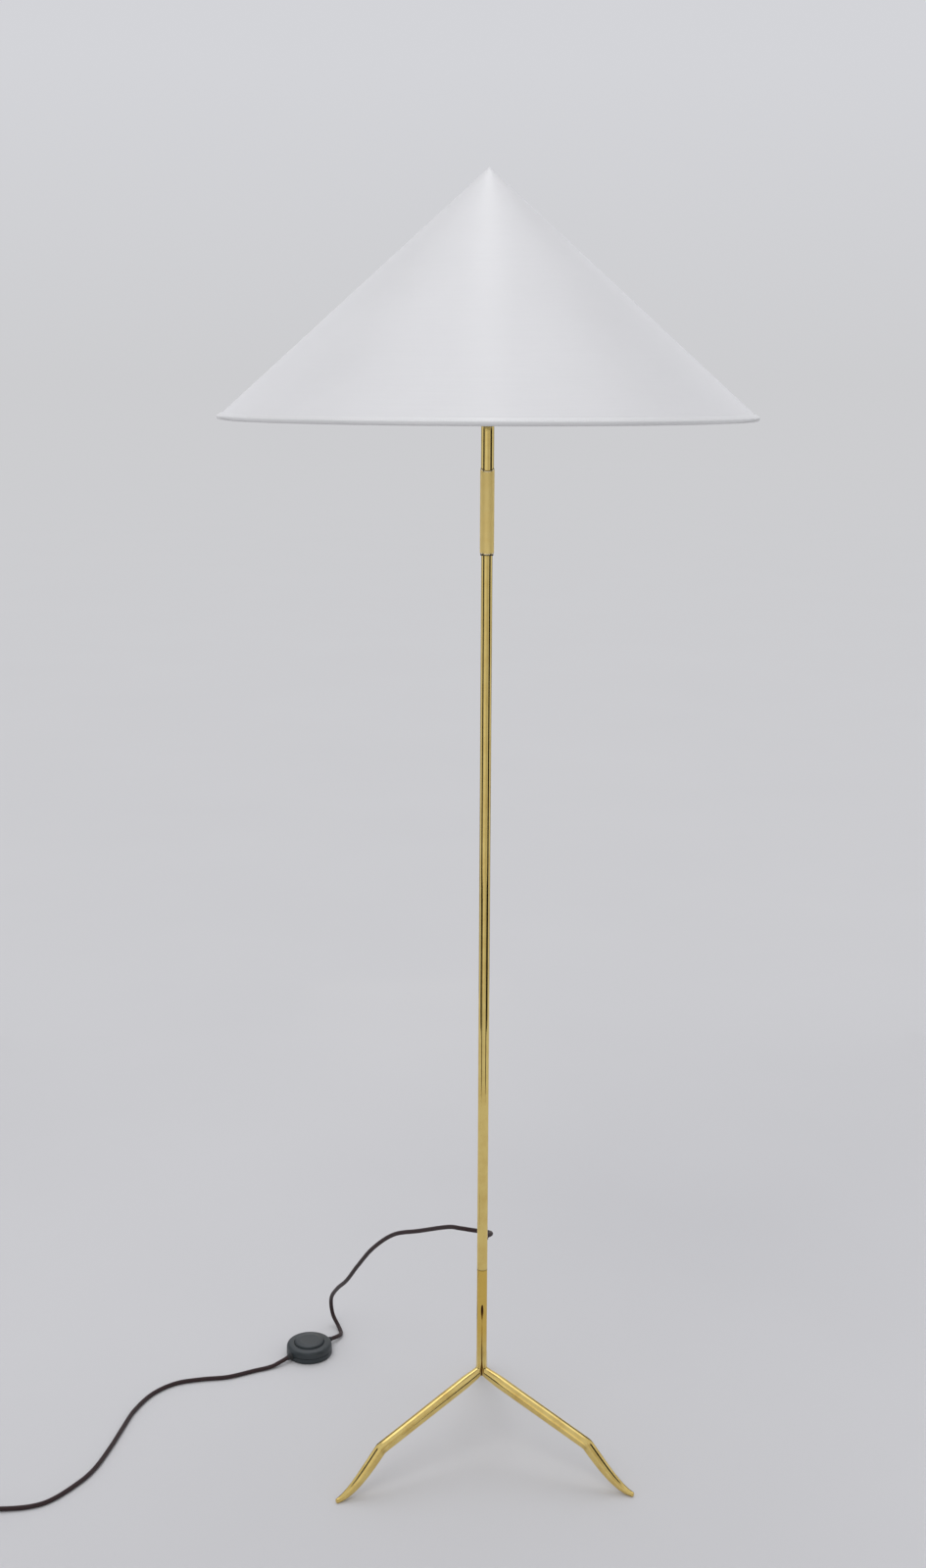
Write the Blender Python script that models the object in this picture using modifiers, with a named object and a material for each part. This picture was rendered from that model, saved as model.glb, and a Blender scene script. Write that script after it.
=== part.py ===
"""Tripod floor lamp: three crow's-foot legs, a telescopic pole, a cone shade, and a foot switch on the mains cord.

Metres, +Z up. The pole's axis is the Z axis and the floor is z = 0. The front is -Y.
"""

import math

import bmesh
import bpy
from mathutils import Matrix, Vector
from mathutils.geometry import interpolate_bezier

# Gaps between separate pieces
GAP = 0.0003
RUNNING_GAP = 0.00008

# Facets of the turned pieces
FINE = 32
MEDIUM = 24
COARSE = 16
SHADE_FACETS = 56

# Tripod
LEG_ANGLES = {"leg_left": 210.0, "leg_right": 330.0, "leg_back": 90.0}
LEG_TOES_OUT = {"leg_left": 210.0, "leg_right": 330.0, "leg_back": 86.8}  # bent a little off its third
SEAM_ANGLES = (30.0, 150.0, 270.0)
NECK_RADIUS = 0.00695
NECK_TOP = 0.2722
NECK_BOTTOM = 0.2125
NECK_SPIGOT_RADIUS = 0.0057
NECK_SPIGOT_LENGTH = 0.020
NECK_PIN_RADIUS = 0.0025
NECK_PIN_BOTTOM = 0.140
LEG_LINE_TOP = 0.123
LEG_SLOPE = 0.42
LEG_BEND_RADIUS = 0.009
LEG_RADIUS = 0.0082
LEG_SWELL_END = 0.030
KNEE = (0.1583, 0.0562)
KNEE_RADIUS = 0.0080
TOE_HANDLES = ((0.182, 0.030), (0.203, 0.006))
TOE_TIP = (0.225, 0.0026)
TOE_RADIUS = 0.0031
CROTCH_NOTCH_TOP = 0.134
CROTCH_NOTCH_BOTTOM = 0.108
CROTCH_NOTCH_RADIUS = 0.005
SEAM_DROP_CENTRE = 0.212
SEAM_DROP_SIZE = (0.0013, 0.0015, 0.012)

# Pole and sliding stem
POLE_RADIUS = 0.0070
POLE_BORE = 0.0060
POLE_TOP = 1.2970
STEM_RADIUS = 0.0080
STEM_BORE = 0.0075
STEM_BOTTOM = 1.2280
STEM_TOP = 1.4300
GRIP_RADIUS = 0.00865
GRIP_BORE = 0.00825
GRIP_BOTTOM = 1.2280
GRIP_TOP = 1.3320
GRIP_RING_HEIGHT = 0.0014
GRIP_TOP_DIP = 0.0032  # the grip's top edge is lower at its front and back than at its sides
GRIP_BOTTOM_RISE = 0.0012  # its bottom edge is higher at its sides
FLEX_RADIUS = 0.0024
FLEX_JOIN = 1.2625

# Shade
RIM_RADIUS = 0.325
RIM_BOTTOM = 1.390
APEX = 1.681
COVER_WALL = 0.0010
COVER_EDGE = (0.3209, 1.3958)
SPIDER_HEIGHT = 1.4727
SPIDER_RING_RADIUS = 0.2296
FRAME_WIRE = 0.00175
SPIDER_ANGLES = (30.0, 150.0, 270.0)
HUB_RADIUS = 0.0270

# Foot switch
SWITCH_CENTRE = (-0.246, 0.264)
SWITCH_PORT_ANGLES = {"switch_gland_in": 40.0, "switch_gland_out": 220.0}
SWITCH_RADIUS = 0.034
SWITCH_WALL = 0.002
SWITCH_SPLIT = 0.0080
SWITCH_TOP = 0.0230
SWITCH_LIP = 0.0173
BUTTON_RADIUS = 0.0222
PORT_HEIGHT = 0.0078
PORT_RADIUS = 0.0041
GLAND_END = 0.0420
SCREW_DISTANCE = 0.0285

# Mains cord
CORD_RADIUS = 0.0030
CORD_HOLE_HEIGHT = 0.3144
CORD_HOLE_RADIUS = 0.0041
CORD_HOLE_ANGLE = 60.0
CORD_STEP = 0.0135
COIL_CENTRE = (-0.705, -0.140)
COIL_BOTTOM = 0.0013
COIL_INNER = 0.0240
COIL_OUTER = 0.0420
COIL_HEIGHT = 0.0120
COIL_TIE_ANGLE = -50.0
TIE_RADIUS = 0.0005
PLUG_REAR = (-0.7480, -0.2220)
PLUG_ANGLE = -87.0
PLUG_LENGTH = 0.038
PLUG_THICKNESS = 0.0136
PIN_RADIUS = 0.0020
PIN_LENGTH = 0.019
PIN_SPACING = 0.0186
RELIEF_LENGTH = 0.018

CORD_TO_SWITCH = [
    (0.0046, 0.0080, 0.3144),
    (0.0066, 0.0115, 0.3142),
    (0.0107, 0.0180, 0.3125),
    (0.0130, 0.0260, 0.3100),
    (0.0118, 0.0347, 0.3070),
    (0.0062, 0.0437, 0.3040),
    (-0.0075, 0.0530, 0.3015),
    (-0.0270, 0.0625, 0.3005),
    (-0.0440, 0.0810, 0.2935),
    (-0.0820, 0.1230, 0.2675),
    (-0.1180, 0.1600, 0.2440),
    (-0.1480, 0.1955, 0.2055),
    (-0.1705, 0.2320, 0.1600),
    (-0.1890, 0.2690, 0.1160),
    (-0.2045, 0.3120, 0.0800),
    (-0.2148, 0.3460, 0.0460),
    (-0.2133, 0.3500, 0.0180),
    (-0.2042, 0.3345, 0.0052),
    (-0.1998, 0.3190, 0.0033),
    (-0.2005, 0.3080, 0.0048),
    (-0.2055, 0.2985, 0.0070),
    (-0.21344, 0.29132, 0.0078),
]

CORD_TO_COIL = [
    (-0.27856, 0.23668, 0.0078),
    (-0.2880, 0.2290, 0.0062),
    (-0.3020, 0.2205, 0.0036),
    (-0.327, 0.2110, 0.0031),
    (-0.363, 0.1955, 0.0031),
    (-0.401, 0.1905, 0.0031),
    (-0.438, 0.1805, 0.0031),
    (-0.468, 0.1535, 0.0031),
    (-0.488, 0.1120, 0.0031),
    (-0.498, 0.0715, 0.0031),
    (-0.509, 0.0205, 0.0031),
    (-0.523, -0.0290, 0.0031),
    (-0.540, -0.0615, 0.0031),
    (-0.568, -0.0965, 0.0031),
    (-0.594, -0.1105, 0.0031),
    (-0.6315, -0.1147, 0.0036),
    (-0.6560, -0.1110, 0.0043),
    (-0.6700, -0.1075, 0.0045),
]

CORD_TO_PLUG = [
    (-0.7508, -0.1490, 0.0045),
    (-0.7515, -0.1610, 0.0042),
    (-0.7510, -0.1750, 0.0040),
    (-0.7500, -0.1900, 0.0050),
    (-0.7490, -0.2034, 0.0068),
]


# ---------------------------------------------------------------- helpers


def clear_scene():
    for obj in list(bpy.data.objects):
        bpy.data.objects.remove(obj, do_unlink=True)


def new_collection(name):
    collection = bpy.data.collections.new(name)
    bpy.context.scene.collection.children.link(collection)
    return collection


def new_material(name, colour, roughness, metallic=0.0):
    material = bpy.data.materials.new(name)
    material.use_nodes = True
    shader = material.node_tree.nodes["Principled BSDF"]
    shader.inputs["Base Color"].default_value = (*colour, 1.0)
    shader.inputs["Roughness"].default_value = roughness
    shader.inputs["Metallic"].default_value = metallic
    material.diffuse_color = (*colour, 1.0)
    return material


def direction(angle):
    """Unit vector on the floor plane at this azimuth in degrees, counted from +X."""
    return Vector((math.cos(math.radians(angle)), math.sin(math.radians(angle)), 0.0))


def along(angle, origin=(0.0, 0.0), height=0.0):
    """Frame whose Z axis runs level at this azimuth, for a piece turned about a level axis."""
    turn = Matrix.Rotation(math.radians(angle), 4, "Z") @ Matrix.Rotation(math.radians(90.0), 4, "Y")
    return Matrix.Translation((origin[0], origin[1], height)) @ turn


def add_object(name, data, material, matrix=None, collection=None):
    obj = bpy.data.objects.new(name, data)
    (collection or PARTS).objects.link(obj)
    obj.matrix_world = matrix or Matrix.Identity(4)
    obj.data.materials.clear()
    if material:
        obj.data.materials.append(material)
    return obj


def baked(obj, smooth_angle=35.0):
    """The object with its modifiers or its bevel turned into a plain welded mesh."""
    bpy.context.view_layer.update()
    graph = bpy.context.evaluated_depsgraph_get()
    mesh = bpy.data.meshes.new_from_object(obj.evaluated_get(graph))
    shape = bmesh.new()
    shape.from_mesh(mesh)
    bmesh.ops.remove_doubles(shape, verts=shape.verts, dist=0.000001)
    bmesh.ops.recalc_face_normals(shape, faces=shape.faces)
    shape.to_mesh(mesh)
    shape.free()
    mesh.shade_smooth()
    mesh.set_sharp_from_angle(angle=math.radians(smooth_angle))
    name, matrix, collection = obj.name, obj.matrix_world.copy(), obj.users_collection[0]
    material = obj.data.materials[0] if obj.data.materials else None
    bpy.data.objects.remove(obj, do_unlink=True)
    return add_object(name, mesh, material, matrix, collection)


def turned(name, profile, material, facets=MEDIUM, matrix=None, collection=None):
    """Solid turned about its Z axis from (radius, height) points that run down its outer side."""
    on_axis = profile[0][0] == 0.0 and profile[-1][0] == 0.0
    edges = [(i, i + 1) for i in range(len(profile) - 1)]
    if not on_axis:
        edges.append((len(profile) - 1, 0))
    mesh = bpy.data.meshes.new(name)
    mesh.from_pydata([(radius, 0.0, height) for radius, height in profile], edges, [])
    obj = add_object(name, mesh, material, matrix, collection)
    screw = obj.modifiers.new("Screw", "SCREW")
    screw.steps = facets
    screw.render_steps = facets
    screw.use_merge_vertices = True
    screw.merge_threshold = 0.00001
    return baked(obj)


def ring(name, inner, outer, bottom, top, material, facets=MEDIUM, matrix=None):
    """Plain hollow cylinder."""
    profile = [(outer, top), (outer, bottom), (inner, bottom), (inner, top)]
    return turned(name, profile, material, facets, matrix)


def scooped(obj, edge, dip, rise):
    """Curves one end of a tube: its front and back dip and its sides rise."""
    for vertex in obj.data.vertices:
        if abs(vertex.co.z - edge) > 0.004:
            continue
        frontness = (vertex.co.y / math.hypot(vertex.co.x, vertex.co.y)) ** 2
        vertex.co.z += rise * (1.0 - frontness) - dip * frontness
    return obj


def swept(name, points, radius, material, factors=None, resolution=2, cyclic=False):
    """Round bar along a list of points, with its own radius factor at each point when given."""
    curve = bpy.data.curves.new(name, "CURVE")
    curve.dimensions = "3D"
    curve.bevel_depth = radius
    curve.bevel_resolution = resolution
    curve.use_fill_caps = not cyclic
    spline = curve.splines.new("POLY")
    spline.points.add(len(points) - 1)
    spline.use_cyclic_u = cyclic
    for index, point in enumerate(points):
        spline.points[index].co = (*point, 1.0)
        spline.points[index].radius = factors[index] if factors else 1.0
    return baked(add_object(name, curve, material))


def prism(name, outline, bottom, top, material, matrix=None, collection=None):
    """Flat outline raised from bottom to top."""
    curve = bpy.data.curves.new(name, "CURVE")
    curve.dimensions = "2D"
    curve.fill_mode = "BOTH"
    curve.extrude = (top - bottom) / 2
    spline = curve.splines.new("POLY")
    spline.points.add(len(outline) - 1)
    spline.use_cyclic_u = True
    for index, (x, y) in enumerate(outline):
        spline.points[index].co = (x, y, 0.0, 1.0)
    place = (matrix or Matrix.Identity(4)) @ Matrix.Translation((0.0, 0.0, (top + bottom) / 2))
    return baked(add_object(name, curve, material, place, collection))


def cylinder_cutter(name, radius, bottom, top, matrix=None, facets=COARSE):
    profile = [(0.0, top), (radius, top), (radius, bottom), (0.0, bottom)]
    return as_cutter(turned(name, profile, None, facets, matrix, CUTTERS))


def as_cutter(obj):
    obj.hide_render = True
    obj.display_type = "WIRE"
    return obj


def cut(obj, cutter, operation="DIFFERENCE"):
    boolean = obj.modifiers.new(cutter.name, "BOOLEAN")
    boolean.solver = "EXACT"
    boolean.operation = operation
    boolean.object = cutter


def bevelled(obj, width, segments=2):
    bevel = obj.modifiers.new("Bevel", "BEVEL")
    bevel.width = width
    bevel.segments = segments
    bevel.limit_method = "ANGLE"
    bevel.angle_limit = math.radians(40.0)
    return baked(obj)


def smooth_route(points, step):
    """Points a step apart on the smooth curve through the route points."""
    knots = [Vector(point) for point in points]
    ends = [2 * knots[0] - knots[1]] + knots + [2 * knots[-1] - knots[-2]]
    fine = []
    for index in range(1, len(ends) - 2):
        before, start, end, after = ends[index - 1 : index + 3]
        fine += interpolate_bezier(start, start + (end - before) / 6, end - (after - start) / 6, end, 24)[:-1]
    fine.append(knots[-1])
    lengths = [0.0]
    for first, second in zip(fine, fine[1:]):
        lengths.append(lengths[-1] + (second - first).length)
    count = max(2, round(lengths[-1] / step))
    route = []
    place = 0
    for index in range(count + 1):
        wanted = lengths[-1] * index / count
        while place < len(fine) - 2 and lengths[place + 1] < wanted:
            place += 1
        share = (wanted - lengths[place]) / (lengths[place + 1] - lengths[place])
        route.append(fine[place].lerp(fine[place + 1], min(share, 1.0)))
    return route


# ---------------------------------------------------------------- materials


def make_materials():
    brass = (0.68, 0.47, 0.17)
    return {
        "brass": new_material("brass", brass, 0.22, 1.0),
        "bright_brass": new_material("bright_brass", (0.78, 0.57, 0.26), 0.18, 1.0),
        "grip": new_material("grip", (0.55, 0.45, 0.25), 0.5),
        "nylon": new_material("nylon", (0.16, 0.13, 0.09), 0.45),
        "fabric": new_material("fabric", (0.86, 0.87, 0.88), 0.8),
        "hem": new_material("hem", (0.90, 0.90, 0.89), 0.75),
        "white_wire": new_material("white_wire", (0.82, 0.82, 0.80), 0.4),
        "cord": new_material("cord", (0.045, 0.02, 0.02), 0.75),
        "flex": new_material("flex", (0.75, 0.73, 0.68), 0.5),
        "switch": new_material("switch", (0.035, 0.042, 0.047), 0.4),
        "rubber": new_material("rubber", (0.03, 0.03, 0.032), 0.7),
        "steel": new_material("steel", (0.60, 0.60, 0.60), 0.3, 1.0),
        "bakelite": new_material("bakelite", (0.06, 0.03, 0.02), 0.35),
        "ceramic": new_material("ceramic", (0.88, 0.87, 0.83), 0.3),
        "opal_glass": new_material("opal_glass", (0.93, 0.93, 0.91), 0.2),
        "bulb_metal": new_material("bulb_metal", (0.72, 0.72, 0.70), 0.3, 1.0),
        "black_glass": new_material("black_glass", (0.03, 0.03, 0.035), 0.15),
    }


# ---------------------------------------------------------------- tripod


def leg_path():
    """Centreline (distance from the pole's axis, height) of one leg, with the radius at each point."""
    slope = math.atan(LEG_SLOPE)
    turn = math.pi / 2 - slope
    bend_start = LEG_LINE_TOP + LEG_BEND_RADIUS * math.tan(turn / 2)
    path = [(0.0, NECK_BOTTOM - GAP, NECK_RADIUS)]
    bend_steps = 7
    for index in range(bend_steps + 1):
        angle = math.pi + turn * index / bend_steps
        out = LEG_BEND_RADIUS * (1 + math.cos(angle))
        path.append((out, bend_start + LEG_BEND_RADIUS * math.sin(angle), NECK_RADIUS))
    path.append((LEG_SWELL_END / 2, LEG_LINE_TOP - LEG_SLOPE * LEG_SWELL_END / 2, (NECK_RADIUS + LEG_RADIUS) / 2))
    path.append((LEG_SWELL_END, LEG_LINE_TOP - LEG_SLOPE * LEG_SWELL_END, LEG_RADIUS))
    toe_steps = 10
    corners = [Vector((*point, 0.0)) for point in (KNEE, *TOE_HANDLES, TOE_TIP)]
    toe = interpolate_bezier(*corners, toe_steps + 1)
    for index, point in enumerate(toe):
        share = index / toe_steps
        path.append((point.x, point.y, KNEE_RADIUS + (TOE_RADIUS - KNEE_RADIUS) * share**2))
    return path


def seam_wedge(name, angle):
    """Third of a turn that one leg may fill in the neck, half a gap clear of each seam."""
    reach = 0.3
    tip = GAP / 2 / math.sin(math.radians(60.0))
    side = reach * math.tan(math.radians(60.0))
    outline = [(tip, 0.0), (reach / 2, -side / 2), (reach, -side / 2), (reach, side / 2), (reach / 2, side / 2)]
    turn = Matrix.Rotation(math.radians(angle), 4, "Z")
    return as_cutter(prism(name, outline, 0.0, NECK_BOTTOM + 0.05, None, turn, CUTTERS))


def make_seam_cutters():
    """Notch at the crotch and drop-shaped relief at the top of each seam between two legs."""
    cutters = []
    for number, angle in enumerate(SEAM_ANGLES, start=1):
        place = direction(angle) * (NECK_RADIUS + 0.0003)
        notch = turned(
            f"cut_crotch_{number}",
            [(0.0, CROTCH_NOTCH_TOP), (CROTCH_NOTCH_RADIUS, CROTCH_NOTCH_BOTTOM), (0.0, CROTCH_NOTCH_BOTTOM)],
            None,
            COARSE,
            Matrix.Translation(place),
            CUTTERS,
        )
        cutters.append(as_cutter(notch))
        shape = bmesh.new()
        bmesh.ops.create_uvsphere(shape, u_segments=12, v_segments=8, radius=1.0)
        mesh = bpy.data.meshes.new(f"cut_drop_{number}")
        shape.to_mesh(mesh)
        shape.free()
        turn = Matrix.Rotation(math.radians(angle), 4, "Z") @ Matrix.Diagonal((*SEAM_DROP_SIZE, 1.0))
        matrix = Matrix.Translation(place + Vector((0.0, 0.0, SEAM_DROP_CENTRE))) @ turn
        cutters.append(as_cutter(add_object(f"cut_drop_{number}", mesh, None, matrix, CUTTERS)))
    return cutters


def make_legs(brass, seam_cutters):
    bore = cylinder_cutter("cut_neck_pin", NECK_PIN_RADIUS + GAP, 0.09, NECK_BOTTOM + 0.01)
    depth = 0.02
    ground = cylinder_cutter("cut_ground", 0.3, -depth, 0.0)
    path = leg_path()
    for name, angle in LEG_ANGLES.items():
        out = direction(LEG_TOES_OUT[name])
        points = [out * distance + Vector((0.0, 0.0, height)) for distance, height, _ in path]
        leg = swept(name, points, NECK_RADIUS, brass, [radius / NECK_RADIUS for _, _, radius in path], 9)
        cut(leg, seam_wedge(f"cut_wedge_{name}", angle), "INTERSECT")
        cut(leg, bore)
        cut(leg, ground)
        for cutter in seam_cutters:
            cut(leg, cutter)


def make_neck(brass, seam_cutters):
    """Round stub above the legs, with a spigot up into the pole and a pin down between the legs."""
    bottom = NECK_BOTTOM
    profile = [
        (0.0, NECK_TOP + NECK_SPIGOT_LENGTH),
        (NECK_SPIGOT_RADIUS - 0.0006, NECK_TOP + NECK_SPIGOT_LENGTH),
        (NECK_SPIGOT_RADIUS, NECK_TOP + NECK_SPIGOT_LENGTH - 0.0006),
        (NECK_SPIGOT_RADIUS, NECK_TOP),
        (NECK_RADIUS, NECK_TOP),
        (NECK_RADIUS, bottom),
        (NECK_PIN_RADIUS, bottom),
        (NECK_PIN_RADIUS, NECK_PIN_BOTTOM),
        (0.0, NECK_PIN_BOTTOM),
    ]
    neck = turned("base_neck", profile, brass, FINE)
    for cutter in seam_cutters:
        if cutter.name.startswith("cut_drop"):
            cut(neck, cutter)


# ---------------------------------------------------------------- pole and stem


def make_pole(materials):
    pole = ring("lower_pole", POLE_BORE, POLE_RADIUS, NECK_TOP + GAP, POLE_TOP, materials["brass"], FINE)
    hole = along(CORD_HOLE_ANGLE, height=CORD_HOLE_HEIGHT)
    cut(pole, cylinder_cutter("cut_cord_hole", CORD_HOLE_RADIUS, 0.002, 0.012, hole))
    bush_bottom = POLE_TOP - 0.012
    turned(
        "pole_guide_bush",
        [
            (STEM_BORE - 2 * RUNNING_GAP, POLE_TOP + 0.0035),
            (STEM_BORE - 2 * RUNNING_GAP, POLE_TOP + GAP),
            (POLE_BORE - GAP / 2, POLE_TOP + GAP),
            (POLE_BORE - GAP / 2, bush_bottom),
            (0.0032, bush_bottom),
            (0.0032, POLE_TOP + 0.0035),
        ],
        materials["nylon"],
    )
    turned(
        "cord_grommet",
        [
            (0.0036, 0.0086),
            (0.0046, 0.0082),
            (0.0048, 0.0074),
            (0.0038, 0.0074),
            (0.0038, 0.0056),
            (0.0029, 0.0056),
            (0.0029, 0.0086),
        ],
        materials["rubber"],
        COARSE,
        hole,
    )


def make_inner_flex(material):
    """Two-core flex inside the pole, and the part of it that follows the sliding stem."""
    out = direction(CORD_HOLE_ANGLE)
    bend = [(0.0046, 0.0), (0.0030, 0.0006), (0.0014, 0.0034), (0.0004, 0.0082), (0.0, 0.0150)]
    points = [out * distance + Vector((0.0, 0.0, CORD_HOLE_HEIGHT + rise)) for distance, rise in bend]
    points.append(Vector((0.0, 0.0, FLEX_JOIN - GAP)))
    swept("inner_flex_pole", points, FLEX_RADIUS, material)
    holder_end = STEM_TOP + 0.0145
    swept("inner_flex_stem", [Vector((0.0, 0.0, FLEX_JOIN)), Vector((0.0, 0.0, holder_end))], FLEX_RADIUS, material)


def make_stem(materials):
    ring("upper_stem", STEM_BORE, STEM_RADIUS, STEM_BOTTOM, STEM_TOP, materials["brass"], FINE)
    turned(
        "friction_bush",
        [
            (STEM_BORE - RUNNING_GAP, STEM_BOTTOM + 0.022),
            (STEM_BORE - RUNNING_GAP, STEM_BOTTOM - GAP),
            (STEM_RADIUS, STEM_BOTTOM - GAP),
            (STEM_RADIUS, STEM_BOTTOM - 0.0012),
            (POLE_RADIUS + RUNNING_GAP, STEM_BOTTOM - 0.0012),
            (POLE_RADIUS + RUNNING_GAP, STEM_BOTTOM + 0.022),
        ],
        materials["nylon"],
        FINE,
    )
    ends = {"grip_ring_lower": GRIP_BOTTOM, "grip_ring_upper": GRIP_TOP - GRIP_RING_HEIGHT}
    for name, bottom in ends.items():
        top = bottom + GRIP_RING_HEIGHT
        band = ring(name, GRIP_BORE, GRIP_RADIUS, bottom, top, materials["bright_brass"], FINE)
        scooped(band, GRIP_TOP, GRIP_TOP_DIP, 0.0)
        scooped(band, GRIP_BOTTOM, 0.0, GRIP_BOTTOM_RISE)
    sleeve_bottom = GRIP_BOTTOM + GRIP_RING_HEIGHT + GAP
    sleeve_top = GRIP_TOP - GRIP_RING_HEIGHT - GAP
    sleeve = ring("grip_sleeve", GRIP_BORE, GRIP_RADIUS, sleeve_bottom, sleeve_top, materials["grip"], FINE)
    scooped(sleeve, GRIP_TOP, GRIP_TOP_DIP, 0.0)
    scooped(sleeve, GRIP_BOTTOM, 0.0, GRIP_BOTTOM_RISE)
    plug_radius = STEM_BORE - GAP
    ring("stem_top_plug", 0.0053, plug_radius, STEM_TOP - 0.012, STEM_TOP, materials["brass"], FINE)
    ring("holder_nipple", 0.0035, 0.0050, STEM_TOP - 0.010, STEM_TOP + 0.0115, materials["steel"])


# ---------------------------------------------------------------- lampholder and bulb


def make_holder(materials):
    base = STEM_TOP
    brass = materials["brass"]
    hexagon = [(0.0081 * math.cos(math.radians(a)), 0.0081 * math.sin(math.radians(a))) for a in range(0, 360, 60)]
    nut = prism("holder_lock_nut", hexagon, base + 0.0066, base + 0.0096, materials["steel"])
    cut(nut, cylinder_cutter("cut_lock_nut", 0.0053, base, base + 0.02, facets=MEDIUM))
    turned(
        "holder_cap",
        [
            (0.0190, base + 0.0220),
            (0.0190, base + 0.0120),
            (0.0165, base + 0.0075),
            (0.0110, base + 0.0043),
            (0.0085, base + GAP),
            (0.0053, base + GAP),
            (0.0053, base + 0.0055),
            (0.0105, base + 0.0058),
            (0.0157, base + 0.0087),
            (0.0180, base + 0.0128),
            (0.0180, base + 0.0220),
        ],
        brass,
    )
    turned(
        "holder_body",
        [
            (0.0190, base + 0.0575),
            (0.0190, base + 0.0410),
            (0.0235, base + 0.0410),
            (0.0240, base + 0.0400),
            (0.0240, base + 0.0380),
            (0.0190, base + 0.0372),
            (0.0190, base + 0.0223),
            (0.0180, base + 0.0223),
            (0.0180, base + 0.0575),
        ],
        brass,
    )
    turned(
        "holder_shade_ring",
        [
            (0.0250, base + 0.0495),
            (0.0262, base + 0.0485),
            (0.0262, base + 0.0447),
            (0.0193, base + 0.0447),
            (0.0193, base + 0.0495),
        ],
        brass,
    )
    turned(
        "holder_core",
        [
            (0.0172, base + 0.0270),
            (0.0172, base + 0.0170),
            (0.0030, base + 0.0170),
            (0.0030, base + 0.0270),
        ],
        materials["ceramic"],
    )
    ring("holder_thread_shell", 0.0138, 0.0142, base + 0.0273, base + 0.0545, materials["bright_brass"])
    turned(
        "holder_contact",
        [(0.0, base + 0.0290), (0.0050, base + 0.0283), (0.0050, base + 0.0273), (0.0, base + 0.0273)],
        materials["bright_brass"],
        COARSE,
    )


def bulb_outline(base, inset):
    """Glass outline (radius, height) from the crown down to the open neck, set in by the wall."""
    neck = [(0.0122, 0.0120), (0.0122, 0.0270), (0.0140, 0.0340), (0.0190, 0.0440), (0.0255, 0.0560)]
    centre = 0.0680
    radius = 0.0300
    crown = [
        (radius * math.cos(math.radians(angle)), centre + radius * math.sin(math.radians(angle)))
        for angle in (-6, 15, 36, 57, 76)
    ]
    outline = neck + crown
    shrunk = [(distance - inset, height) for distance, height in outline]
    top = (0.0, centre + radius - inset)
    points = [(distance, base + height) for distance, height in shrunk]
    return [(top[0], base + top[1])] + points[::-1]


def make_bulb(materials):
    base = STEM_TOP + 0.0293
    wall = 0.0008
    outer = bulb_outline(base, 0.0)
    inner = bulb_outline(base, wall)
    turned("bulb_glass", outer + inner[::-1], materials["opal_glass"])
    turned(
        "bulb_cap",
        [
            (0.0133, base + 0.0262),
            (0.0133, base + 0.0060),
            (0.0100, base + 0.0036),
            (0.0096, base + 0.0036),
            (0.0126, base + 0.0064),
            (0.0126, base + 0.0262),
        ],
        materials["bulb_metal"],
    )
    turned(
        "bulb_insulator",
        [(0.0, base + 0.0046), (0.0090, base + 0.0046), (0.0092, base + 0.0034), (0.0060, base + 0.0018), (0.0, base + 0.0018)],
        materials["black_glass"],
        COARSE,
    )
    turned(
        "bulb_tip",
        [(0.0, base + 0.0015), (0.0042, base + 0.0015), (0.0035, base + 0.0004), (0.0, base)],
        materials["bulb_metal"],
        COARSE,
    )


# ---------------------------------------------------------------- shade


def cone_radius(height):
    """Radius of the cover's outer side at this height."""
    return COVER_EDGE[0] * (APEX - height) / (APEX - COVER_EDGE[1])


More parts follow.
